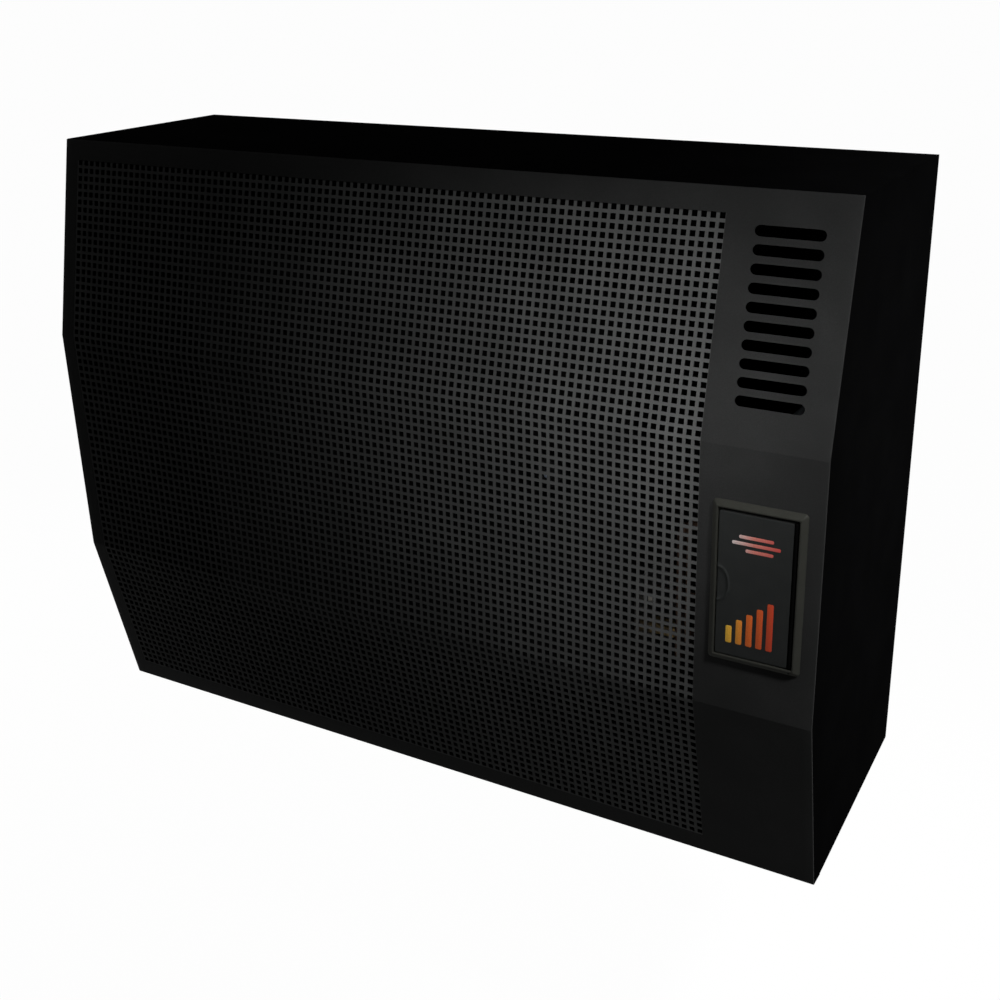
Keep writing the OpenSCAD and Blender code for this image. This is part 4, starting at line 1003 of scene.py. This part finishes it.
@dataclass
class Casing:
    """The heater's outer sheets.

    Attributes:
        half_w: half of the width.
        top: height of the top edge over the middle.
        upper: depth and height of the front's upper bend.
        lower: depth and height of its lower bend.
        top_d: depth of the upper edge.
        foot_d: depth of the lower edge.
        lip: depth of the lip folded back under the front.
        bends: outer radius of the two bends and of the lip's bend.
        wall: thickness of the sheet.
        roll: how far the front's edges roll back, and how wide the roll is.
        pitch: distance from one square hole to the next.
        hole: half of a hole's side.
        first_column: middle of the rightmost column of holes.
        columns: how many columns there are.
        first_row: distance from the upper edge to the first row.
        rows: how many rows there are.
        strip: middle of the plain strip.
        slots: how many vent slots the strip has.
        first_slot: distance from the upper edge to the first slot.
        slot_pitch: distance from one slot to the next.
        slot: half of a slot's straight length, and the radius of its ends.
        facet: length of the sheet from its upper edge to the upper bend.
        opening: half of the door opening's width, and its reach above and below the heater's middle.
        lip_hole: X of a hole in the lip, its distance from the sheet's end, and its radius.
        screw: radius of a casing screw's head, and its length.
        side_screw: where the right side's upper screw sits.
        foot_screw: where the lip's right screw sits.
        wall_hole: X and Z of a wall screw's hole.
        inlet: where the gas inlet goes through the floor.
        floor_slope: how much the floor rises for each millimetre towards the back.
        floor_end: X of the floor's end and of the side panel beside it.
    """

    half_w: float = 422.5
    top: float = 316.0
    upper: Pair = (-270.0, 116.0)
    lower: Pair = (-270.0, -128.0)
    top_d: float = -226.0
    foot_d: float = -230.0
    lip: float = 18.0
    bends: Pair = (6.0, 2.5)
    wall: float = 1.2
    roll: Pair = (0.25, 0.8)
    pitch: float = 8.0
    hole: float = 2.5
    first_column: float = 311.0
    columns: int = 90
    first_row: float = 23.2
    rows: int = 75
    strip: float = 368.0
    slots: int = 10
    first_slot: float = 32.5
    slot_pitch: float = 15.0
    slot: Pair = (24.75, 4.5)
    facet: float = 204.784
    opening: Point = (37.3, 63.3, 75.3)
    lip_hole: Point = (408.5, 7.2, 4.15)
    screw: Pair = (3.95, 5.6)
    side_screw: Point = (422.45, -8.5, 250.0)
    foot_screw: Point = (408.5, -219.2, -315.95)
    wall_hole: Pair = (350.0, 220.0)
    inlet: Point = (379.0, -60.0, -291.97)
    floor_slope: float = 0.1344
    floor_end: Pair = (418.6, 421.25)

    def rounds(self, length: float) -> list[RoundHole]:
        """The strip's vent slots, and the screw holes in the lip of a sheet of this length.

        Args:
            length: the sheet's length.

        Returns:
            The holes.
        """
        slots = self.first_slot + self.slot_pitch * np.arange(self.slots)
        x, back, radius = self.lip_hole
        holes = [RoundHole(side * x, length - back, 0.02, radius, 1.0) for side in SIDES]
        return [*(RoundHole(self.strip, slot, *self.slot) for slot in slots), *holes]

    def front(self) -> Shell:
        """The bent front sheet: a grid in (x, distance along the sheet) laid on the folded line, whose
        left, right and upper edges roll back a quarter of a millimetre.

        Returns:
            The closed shell.
        """
        foot = [(self.foot_d, -self.top), (self.foot_d + self.lip, -self.top)]
        bend, lip_bend = self.bends
        line = FoldedLine(
            [(self.top_d, self.top), self.upper, self.lower, *foot], [0.0, bend, bend, lip_bend, 0.0]
        )
        length = line.knots[-1]
        depth, width = self.roll

        def place(across: Array, along: Array) -> tuple[Array, Array]:
            """Lays grid points on the folded line.

            Args:
                across: X of the points.
                along: their distances along the sheet.

            Returns:
                The points, and the unit normals.
            """
            point, normal = line.at(along)
            near = np.minimum(np.minimum(self.half_w - np.abs(across), along), length - along)
            back = depth * np.clip(1 - near / width, 0, 1) ** 2
            point = point - normal * back[:, None]
            return np.column_stack([across, point]), np.column_stack([0 * across, normal])

        roll_lines = np.array([0.0, 0.25, width])
        edges = self.half_w - roll_lines
        middle = self.facet + self.upper[1]
        side, above, below = self.opening
        columns = self.first_column - self.pitch * np.arange(self.columns)
        rows = self.first_row + self.pitch * np.arange(self.rows)
        return PiercedSheet(
            np.concatenate([edges, -edges]),
            np.concatenate([roll_lines, line.knots[line.knots > 1], [length - width]]),
            place,
            self.wall,
            (columns, rows, self.hole),
            (self.strip - side, self.strip + side, middle - above, middle + below),
            self.rounds(length),
        ).shell()

    def fixings(self) -> Shell:
        """The screws: two in each side, one over the other, and two up into the lip.

        Returns:
            The closed shells in one.
        """
        head = cross_screw(*self.screw)
        x, y, z = self.side_screw
        places = [((a * x, y, b * z), turned(a * math.pi / 2, "Y")) for a in SIDES for b in SIDES]
        x, y, z = self.foot_screw
        places += [((side * x, y, z), turned(math.pi, "X")) for side in SIDES]
        return merged(*(head.moved(at, turn) for at, turn in places))

    def wall_seals(self) -> Shell:
        """Rubber grommets, turned, whose thin skins close the wall screws' holes until screws pierce them.

        Returns:
            The closed shells in one.
        """
        path = [(AXIS, 0.7), (2.6, 0.65), (3.0, 0.15), (4.2, 0.15), (4.45, 0.4), (4.45, 1.55), (6.4, 1.55)]
        path += [(6.6, 1.75), (6.6, 2.5), (6.2, 2.9), (3.6, 2.9), (3.1, 2.5), (2.8, 1.5), (AXIS, 1.4)]
        seal = lathe(path, 40)
        x, z = self.wall_hole
        return merged(*(seal.moved((a * x, 0, b * z), TO_FRONT) for a in SIDES for b in SIDES))

    def floor_seals(self) -> Shell:
        """A rubber grommet in the sloping floor, turned, whose skin closes the gas inlet's hole until a pipe
        pierces it, and two foam wedges that close the floor's rear corners.

        Returns:
            The closed shells in one.
        """
        half = [(16.4, 1.9), (16.9, 2.2), (20.4, 2.2), (20.9, 1.8), (20.9, 1.0), (20.5, 0.64), (18.3, 0.64)]
        under = [(AXIS, -0.7), (15.6, -0.7), (16.2, -1.1), *((r, -z) for r, z in half)]
        path = under + half[::-1] + [(16.2, 0.6), (15.6, 0.0), (AXIS, 0.0)]
        grommet = lathe(path, 96).moved(self.inlet, turned(math.atan(self.floor_slope), "X"))
        wedge = np.array([(-21.0, -287.3), (-1.6, -284.7), (-1.6, -282.5), (-21.0, -282.5)])
        near, far = self.floor_end
        ends = ((-far, -near), (near, far))
        wedges = [rings(np.stack([np.insert(wedge, 0, x, axis=1) for x in pair])) for pair in ends]
        return merged(grommet, *wedges)

    def build(self) -> None:
        """Makes the front sheet, the casing's screws and the seals in its holes."""
        front = self.front().piece("front_sheet", Finish.FRONT, "heater", "black_casing")
        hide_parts("front_panel")
        screws = self.fixings().piece("casing_fixings", Finish.DARK_SCREW, "heater", "black_casing")
        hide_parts("casing_screws")
        self.wall_seals().piece("wall_grommets", Finish.RUBBER, "heater", "lead_sleeve")
        self.floor_seals().piece("floor_seals", Finish.RUBBER, "heater", "lead_sleeve")


def cross_screw(radius: float, length: float) -> Shell:
    """A countersunk screw with a cross recess, its head's face at Z = 0 and its shank downwards.

    The face is a square grid drawn into a disc, p = q / |q| times the larger coordinate of q, and its
    depth is that of a cross whose arms narrow outwards.

    Args:
        radius: the head's radius.
        length: how far down the shank goes before its end narrows.

    Returns:
        The closed shell.
    """
    count, recess, dome = 25, 1.1, 0.18
    # How wide the recess's walls are at the arms' sides and at their ends, and how far the arms reach.
    side_wall, end_wall, arm = 0.25, 0.4, 0.62 * radius
    side = np.linspace(-1, 1, count)
    gx, gy = np.meshgrid(side, side, indexing="ij")
    reach = np.maximum(np.abs(gx), np.abs(gy))
    norm = np.maximum(np.hypot(gx, gy), 1e-9)
    px, py = gx * reach / norm * radius, gy * reach / norm * radius
    away = np.hypot(px, py)
    across = 0.62 - 0.12 * away - np.minimum(np.abs(px), np.abs(py))
    inside = np.clip(across / side_wall, 0, 1) * np.clip((arm - away) / end_wall, 0, 1)
    face = np.stack([px, py, -dome * (away / radius) ** 4 - recess * inside], -1).reshape(-1, 3)
    top = Shell(face, facing(face, [strip_faces(count, count, False)], (0, 0, 1)))
    rim = face[border(count, count)]
    cone = [(0.5, -1.2), (0.5, -length), (0.36, -length - 0.4)]
    lower = [np.column_stack([rim[:, :2] * share, np.full(len(rim), z)]) for share, z in cone]
    shank = rings(np.array([rim, *lower]), cap_start=False)
    shank.faces = facing(shank.points, shank.faces, rim[0] * [1, 1, 0])
    return merged(top, shank)


@dataclass
class Hatch:
    """The control door in its frame.

    Attributes:
        middle: the door's middle in X and Z.
        frame: half of the frame's outer width and height, and the radius of its corners.
        bar: width of the frame's bars.
        face: depth of the frame's face.
        root: depth of the frame's inner edge, inside the opening.
        sink: how far its ridge stays behind that face.
        rise: half of the shadow gap that the frame leaves over the door.
        sheet: depth of the front sheet's face.
        leaf: left, lower and upper edge of the door.
        leaf_y: depth of the door's face and back.
        edge: radius of the door's edges.
        corner: radius of its corners.
        dish: half of the thumb dish's width and height, and its depth.
        lip: height of the dish's lip, and its place and width as shares of the dish's size.
        barrel: X and Y of the hinge, and the barrel's radius.
    """

    middle: Pair = (368.0, -6.0)
    frame: Point = (41.0, 73.0, 3.5)
    bar: float = 6.0
    face: float = -275.0
    root: float = -262.0
    sink: float = 0.35
    rise: float = 1.0
    sheet: float = -270.0
    leaf: Point = (333.8, -72.2, 60.2)
    leaf_y: Pair = (-273.6, -271.2)
    edge: float = 0.7
    corner: float = 2.0
    dish: Point = (10.0, 15.0, 0.5)
    lip: Point = (0.85, 1.05, 0.075)
    barrel: Point = (400.2, -272.4, 2.0)

    def bezel(self) -> Shell:
        """The frame: a closed profile carried round a rounded rectangle, a slope from the thin outer edge
        up to a ridge whose two shoulders are arcs.

        Returns:
            The closed shell.
        """
        outer_r, inner_r, slope = 0.9, 0.7, math.radians(46)
        top, ridge = self.bar - 1.1, self.face + self.sink
        inner, foot = self.bar - 2.0, self.sheet - 0.02
        profile = [(0.0, foot), (0.0, self.sheet - 0.9), (0.1, self.sheet - 1.1)]
        for a in np.linspace(slope, np.pi / 2, 6):
            profile.append((top - outer_r * math.cos(a), ridge + outer_r * (1 - math.sin(a))))
        for a in np.linspace(0, np.pi / 2, 6):
            profile.append((self.bar - inner_r * (1 - math.sin(a)), ridge + inner_r * (1 - math.cos(a))))
        profile += [(self.bar, self.root), (inner, self.root), (inner, foot), profile[0]]
        half_w, half_h, corner = self.frame
        x, z = self.middle
        shell = rings(frame_sections(half_w, half_h + self.rise, corner, profile), False, False)
        return shell.moved((x, 0, z + self.rise))

    def leaf_shell(self) -> Shell:
        """The door: a grid over X and Z whose depth is the rounded edge, from the distance to a rounded
        rectangle, plus the thumb dish inside an ellipse, with a raised lip.

        Returns:
            The closed shell.
        """
        left, low, high = self.leaf
        hinge_x, _, barrel = self.barrel
        right = hinge_x - barrel + 0.4
        front, back = self.leaf_y
        r = self.corner
        fine = np.array([0.0, 0.05, 0.2, 0.4, 0.7, 1.2])
        dish_u, dish_v = np.arange(left + 1.8, left + 13, 0.6), np.arange(-23.0, 11.1, 0.75)
        flat_u = np.linspace(left + 14, right - 1.8, 24)
        flat_v = [np.linspace(low + 3, -24, 20), np.linspace(12, high - 3, 20)]
        us = np.unique(np.concatenate([left + fine, dish_u, flat_u, right - fine]))
        vs = np.unique(np.concatenate([low + fine, dish_v, *flat_v, high - fine]))
        gx, gz = np.meshgrid(us, vs, indexing="ij")
        cx, cz = (left + right) / 2, (low + high) / 2
        hx, hz = (right - left) / 2, (high - low) / 2
        qx, qz = np.abs(gx - cx) - hx + r, np.abs(gz - cz) - hz + r
        corner = np.minimum(qx, qz) > 0
        over = np.hypot(np.maximum(qx, 0), np.maximum(qz, 0))
        share = np.maximum(over - r, 0) * corner / np.maximum(over, 1e-9)
        gx = gx - np.sign(gx - cx) * np.maximum(qx, 0) * share
        gz = gz - np.sign(gz - cz) * np.maximum(qz, 0) * share
        inside = r - np.where(corner, np.minimum(over, r), np.maximum(qx, qz))
        curve = np.clip(1 - inside / self.edge, 0, 1)
        half_w, half_h, deep = self.dish
        rise, ridge, spread = self.lip
        reach = np.hypot((gx - left) / half_w, (gz - cz) / half_h)
        dish = deep * np.clip((1 - reach) * 6, 0, 1) ** 0.8
        lip = rise * np.exp(-(((reach - ridge) / spread) ** 2))
        depth = front + self.edge * (1 - np.sqrt(np.maximum(1 - curve**2, 0))) + dish - lip
        points = np.stack([gx, np.minimum(depth, back - 0.3), gz], -1).reshape(-1, 3)
        face = Shell(points, facing(points, [strip_faces(*gx.shape, False)], (0, -1, 0)))
        rim = points[border(*gx.shape)]
        wall = rings(np.array([rim, rim * [1, 0, 1] + [0, back, 0]]), cap_start=False)
        wall.faces = facing(wall.points, wall.faces, rim[0] - points.mean(0))
        return merged(face, wall)

    def knuckles(self) -> Shell:
        """The hinge's three knuckles on their pin, turned about the upright hinge axis.

        Returns:
            The closed shell.
        """
        _, low, high = self.leaf
        hinge_x, hinge_y, barrel = self.barrel
        pin, sunk, round_off = 1.08, 6, 0.25
        path = [(AXIS, low + sunk), (pin, low + sunk), (pin, low)]
        for start, end in ((low, -33.0), (-32.4, 20.4), (21.0, high)):
            path += [(barrel - round_off, start), (barrel, start + 0.3)]
            path += [(barrel, end - 0.3), (barrel - round_off, end)]
        path += [(pin, high), (pin, high - sunk), (AXIS, high - sunk)]
        return lathe(path, 32).moved((hinge_x, hinge_y, 0))

    def print_bars(self) -> tuple[Shell, Shell]:
        """The door's plain printed design: three short bars above, five rising bars below.

        Returns:
            The short bars, and the rising bars.
        """
        left, face, rise, edge = self.middle[0] - 22, self.leaf_y[0], 0.15, 0.1
        upper = [
            bead(width, 3.0, 1.2, rise, edge).moved((left + at + width / 2, face, 40 - 6.0 * k))
            for k, (at, width) in enumerate([(6, 30), (0, 42), (12, 24)])
        ]
        lower = [
            bead(5.5, height, 1.4, rise, edge).moved((left + 9.0 * k, face, -60 + height / 2))
            for k, height in enumerate([16, 23, 30, 37, 44])
        ]
        return merged(*upper), merged(*lower)

    def build(self) -> None:
        """Makes the frame, the door and its printed bars."""
        bezel = self.bezel().piece("door_bezel", Finish.BEZEL, "heater", "door_plastic")
        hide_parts("door_frame")
        leaf = self.leaf_shell().piece("door_leaf", Finish.DOOR, "control_door", "door_plastic")
        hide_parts("control_door")
        self.knuckles().piece("door_knuckles", Finish.HINGE, "control_door", "door_plastic")
        upper, lower = self.print_bars()
        upper.piece("door_print_upper", Finish.UPPER_PRINT, "control_door", "door_plastic")
        lower.piece("door_print_lower", Finish.LOWER_PRINT, "control_door", "door_plastic")


@dataclass
class Controls:
    """The knob and the igniter's button behind the door.

    Attributes:
        knob_at: where the knob's path has its zero.
        mark_at: the middle of the pointer's foot.
        button_at: where the button's path has its zero.
    """

    knob_at: Point = (368.0, -251.6, 18.0)
    mark_at: Point = (368.0, -264.95, 27.5)
    button_at: Point = (368.0, -252.0, -48.0)

    def knob(self) -> Shell:
        """The knob, turned and fluted: in the grip's rings the radius has 15 shallow scallops.

        Returns:
            The closed shell.
        """
        flutes, groove = 15, 0.09
        foot = [(AXIS, 6.7), (4.1, 6.7), (4.1, -4.6), (20.4, -4.6), (20.9, -4.2), (21.0, -0.6), (20.5, -0.1)]
        foot += [(17.6, 0.35)]
        grip = [(17.0, 1.2), (16.95, 5.0), (16.9, 9.0), (16.8, 11.6), (16.4, 12.6), (15.7, 13.1)]
        face = [(14.6, 13.3), (11.0, 13.38), (AXIS, 13.4)]

        def scallop(ring: Array, angle: Array) -> Array:
            """1 outside the grip, and 1 minus a groove in each flute inside it.

            Args:
                ring: the rings' numbers.
                angle: the angles in a ring.

            Returns:
                The factors on the radius.
            """
            held = (ring >= len(foot)) & (ring < len(foot) + len(grip))
            wave = np.clip(np.cos(angle * flutes) - 0.1, 0, 1) ** 0.7
            return 1 - groove * held * wave

        return lathe([*foot, *grip, *face], 120, scallop).moved(self.knob_at, TO_FRONT)

    def pointer(self) -> Shell:
        """The knob's pale pointer: a low bead on its face."""
        return bead(2.0, 11.0, 0.95, 0.75, 0.35).moved(self.mark_at)

    def button(self) -> Shell:
        """The button, turned: a shallow dish in a round rim, on a straight shank.

        Returns:
            The closed shell.
        """
        shank = [(AXIS, -38.0), (5.8, -38.0), (6.2, -37.6), (6.2, 0.0)]
        rim = [(7.9, 0.0), (8.2, 0.35), (8.2, 1.9), (8.0, 2.5), (7.5, 2.85), (6.9, 2.95)]
        dish = [(6.2, 2.8), (4.5, 2.5), (2.2, 2.3), (AXIS, 2.25)]
        return lathe([*shank, *rim, *dish], 64).moved(self.button_at, TO_FRONT)

    def build(self) -> None:
        """Makes the knob, its pointer, the button and their springs."""
        knob = self.knob().piece("knob_grip", Finish.KNOB, "gas_knob", "knob_plastic")
        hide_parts("gas_knob")
        self.pointer().piece("knob_pointer", Finish.MARK, "gas_knob", "knob_plastic")
        button = self.button().piece("button_cap", Finish.BUTTON, "igniter_button", "button_plastic")
        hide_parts("igniter_button")
        Coil("knob_coil", "knob_spring", "knob_push", 4.0, 3.0).build()
        Coil("button_coil", "igniter_spring", "igniter_push", 7.0, 8.0).build()


@dataclass(frozen=True)
class Coil:
    """A compression spring behind a control.

    Attributes:
        name: the piece's name.
        node: the CAD node whose box it fills.
        joint: the joint that presses it; not used.
        travel: how far that joint presses it; not used.
        turns: how many turns it has.
        wire: radius of its wire.
    """

    name: str
    node: str
    joint: str
    travel: float
    turns: float
    wire: float = 0.5

    def shell(self) -> Shell:
        """Winds the wire: its middle is (x + r cos a, y0 + l a / A, z + r sin a) for a from 0 to A, and a
        round section lies across it, on the radius and on the tangent's cross product with the radius.

        Returns:
            The closed shell.
        """
        steps, sides = 26, 10
        low, high = (np.array(v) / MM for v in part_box(self.node))
        middle = (low + high) / 2
        reach = (high[0] - low[0]) / 2 - self.wire
        angle = np.linspace(0, 2 * np.pi * self.turns, int(steps * self.turns) + 1)[:, None]
        rise = np.linspace(low[1] + self.wire, high[1] - self.wire, len(angle))[:, None]
        radius = np.concatenate([np.cos(angle), 0 * angle, np.sin(angle)], 1)
        line = np.concatenate([middle[0] + reach * radius[:, :1], rise, middle[2] + reach * radius[:, 2:]], 1)
        along = np.gradient(line, axis=0)
        side = np.cross(along, radius)
        side /= np.linalg.norm(side, axis=1, keepdims=True)
        turn = np.linspace(0, 2 * np.pi, sides + 1)[:-1, None]
        section = np.cos(turn) * radius[:, None] + np.sin(turn) * side[:, None]
        return rings(line[:, None] + self.wire * section)

    def build(self) -> None:
        """Makes the spring and hides the CAD node in whose box it is wound."""
        made = self.shell().piece(self.name, Finish.WIRE, "heater", "spring_steel")
        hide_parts(self.node)
        low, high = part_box(self.node)
        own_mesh(made)


@dataclass(frozen=True)
class Dressing:
    """Which CAD nodes keep their shape and which finish each gets.

    Attributes:
        nodes: the loaded CAD objects by name.
    """

    nodes: dict[str, bpy.types.Object]

    def plan(self) -> dict[Finish, str]:
        """The nodes of each finish, as words in one string.

        Returns:
            The names for each finish.
        """
        return {
            Finish.CASING: "top_panel bottom_panel side_panel_left side_panel_right",
            Finish.INNER_COAT: "control_plate piezo_body",
            Finish.WALL_ZINC: "back_plate",
            Finish.ZINC: "exhaust_spigot air_collar pipe_clamp control_bracket",
            # Inner parts that are painted near black as shade.
            Finish.SHADE_BLACK: "air_deflector heat_shield chamber_brackets cover_bolts chassis_screws"
            " sight_frame air_duct duct_plate",
            Finish.DULL_ZINC: "burner_tube burner_saddles injector_flange pilot_bracket bulb_clips",
            Finish.SCREW_ZINC: "control_screws door_striker valve_spindle ignition_electrode piezo_nut",
            Finish.DARK_SCREW: "hinge_pins",
            Finish.BRASS: "main_injector pilot_burner supply_nuts inlet_fitting magnet_unit spindle_collar",
            Finish.COPPER: "thermocouple pilot_tube supply_pipe inlet_pipe thermostat_bulb"
            " thermostat_capillary",
            Finish.CASTING: "gas_valve",
            Finish.ENAMEL: "combustion_chamber chamber_cover flue_baffle",
            Finish.CERAMIC: "electrode_insulator",
            Finish.FIBRE: "cover_gasket duct_gasket",
            Finish.SLEEVE: "ignition_lead",
            Finish.GLASS: "sight_glass",
            Finish.FERRITE: "door_magnet",
        }

    def build(self) -> None:
        """Gives every kept node its finish."""
        for finish, names in self.plan().items():
            for name in names.split():
                kept = self.nodes[name]
                for place in kept.material_slots:
                    place.material = finish.material()
                LOG.info("%s: %s", name, finish.name)


# Studio


@dataclass(frozen=True)
class Lamp:
    """One lamp of the studio.

    Attributes:
        name: its name.
        kind: AREA or SPOT.
        place: where it hangs, in metres.
        aim: the point it shines at, in metres.
        power: its power in watts.
        size: the side of an area lamp or the radius of a spot's face, in metres.
        cone: a spot's full angle in degrees.
    """

    name: str
    kind: str
    place: Point
    aim: Point
    power: float
    size: float
    cone: float = 60.0

    def hang(self) -> None:
        """Puts the lamp into the scene."""
        data = bpy.data.lights.new(self.name, self.kind)
        data.energy = self.power
        if self.kind == "AREA":
            data.size = self.size
        else:
            data.shadow_soft_size = self.size
            data.spot_size = math.radians(self.cone)
            data.spot_blend = 1.0
        way = Vector(self.aim) - Vector(self.place)
        turn = way.to_track_quat("-Z", "Y").to_matrix().to_4x4()
        linked(self.name, data).matrix_world = Matrix.Translation(self.place) @ turn


@dataclass(frozen=True)
class Studio:
    """Camera, lamps, floor and world.

    Attributes:
        eye: the camera's place in metres.
        right: the camera's X axis.
        up: its Y axis.
        back: its Z axis.
        lens: focal length in millimetres.
        sensor: width of the camera's sensor in millimetres.
        shift: shift of the view across and up.
        floor: height of the floor, and half of its side, in metres.
        ambient: strength of the world's light on the object.
    """

    eye: Point = (0.70586, -1.231927, 0.49619)
    right: Point = (0.870438, 0.491948, -0.01802)
    up: Point = (-0.166448, 0.328564, 0.929699)
    back: Point = (0.463285, -0.806246, 0.367878)
    lens: float = 48.324
    sensor: float = 36.0
    shift: Pair = (-0.03064, -0.02494)
    floor: Pair = (-0.75, 40.0)
    ambient: float = 0.042

    def camera(self) -> None:
        """Puts the camera where the photograph was taken from."""
        data = bpy.data.cameras.new("camera")
        data.lens = self.lens
        data.sensor_width = self.sensor
        data.shift_x, data.shift_y = self.shift
        made = linked("camera", data)
        turn = Matrix((self.right, self.up, self.back)).transposed().to_quaternion().to_matrix().to_4x4()
        made.matrix_world = Matrix.Translation(self.eye) @ turn
        bpy.context.scene.camera = made

    @staticmethod
    def seen(graph: Graph) -> Signal:
        """1 for rays that show the background: from the camera, off gloss or through glass.

        Args:
            graph: the graph that asks.

        Returns:
            1 or 0.
        """
        kinds = ("Is Camera Ray", "Is Glossy Ray", "Is Transmission Ray")
        rays = [graph.node("LightPath", output=kind) for kind in kinds]
        return graph.maths("MAXIMUM", graph.maths("MAXIMUM", rays[0], rays[1]), rays[2])

    def stage_floor(self) -> None:
        """Lays a pale floor that shows white, keeps the heater's shadow, sends little light up and is clear
        from below."""
        material = bpy.data.materials.new("studio_floor")
        graph = Graph(material)
        grain = graph.noise(400.0, 2.0)
        white = graph.node("Emission", {"Color": WHITE, "Strength": 1.0})
        pale = graph.mix(grain, (0.88, 0.88, 0.88), (0.9, 0.9, 0.9))
        shade = graph.node("BsdfDiffuse", {"Color": pale})
        dim = graph.node("BsdfDiffuse", {"Color": (0.05, 0.05, 0.05, 1.0)})
        shown = graph.node("MixShader", {0: 0.02, 1: white, 2: shade})
        ends = graph.node("MixShader", {0: self.seen(graph), 1: dim, 2: shown})
        below = graph.node("NewGeometry", output="Backfacing")
        clear = graph.node("BsdfTransparent")
        sided = graph.node("MixShader", {0: below, 1: ends, 2: clear})
        graph.node("OutputMaterial", {"Surface": sided})
        height, half = self.floor
        mesh = bpy.data.meshes.new("studio_floor")
        sides = [(-half, -half), (half, -half), (half, half), (-half, half)]
        mesh.from_pydata([(x, y, height) for x, y in sides], [], [(0, 1, 2, 3)])
        mesh.materials.append(material)
        linked("studio_floor", mesh)

    def world(self) -> None:
        """A white room for the camera, and a soft, low light on the object."""
        world = bpy.data.worlds.new("studio_world")
        bpy.context.scene.world = world
        graph = Graph(world)
        soft = graph.node("Background", {"Color": WHITE, "Strength": self.ambient})
        white = graph.node("Background", {"Color": WHITE, "Strength": 1.0})
        ends = graph.node("MixShader", {0: self.seen(graph), 1: soft, 2: white})
        graph.node("OutputWorld", {"Surface": ends})

    def lamps(self) -> list[Lamp]:
        """The studio's lamps: a key from the upper right, a weak fill before the front, and soft lamps for
        the back and the sides.

        Returns:
            The five lamps.
        """
        return [
            Lamp("key", "SPOT", (1.334, -0.75, 1.342), (0.852, -0.27, 0.478), 243.0, 0.14, 33.0),
            Lamp("fill", "SPOT", (0.366, -0.613, 0.25), (0.225, -0.27, 0.156), 4.1, 0.05, 81.5),
            Lamp("rear", "AREA", (0.2, 1.6, 1.3), (0.0, 0.0, 0.0), 6.0, 1.6),
            Lamp("left", "AREA", (-1.7, 0.5, 0.6), (0.0, 0.0, 0.0), 16.0, 1.6),
            Lamp("right", "AREA", (1.7, 0.5, 0.6), (0.0, 0.0, 0.0), 8.0, 1.6),
        ]

    def build(self) -> None:
        """Sets up the whole studio."""
        scene = bpy.context.scene
        scene.view_settings.view_transform = "Standard"
        self.camera()
        self.world()
        self.stage_floor()
        for lamp in self.lamps():
            lamp.hang()


def corners(box: tuple[Vector, Vector]) -> list[list[float]]:
    """A box as two plain lists of numbers."""
    return [[float(v) for v in corner] for corner in box]


def main() -> None:
    """Builds the heater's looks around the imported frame."""
    logging.basicConfig(level=logging.INFO, format="%(name)s: %(message)s")
    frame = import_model()
    Studio().build()
    Casing().build()
    Hatch().build()
    Controls().build()
    Dressing(frame["nodes"]).build()


if __name__ == "__main__":
    main()
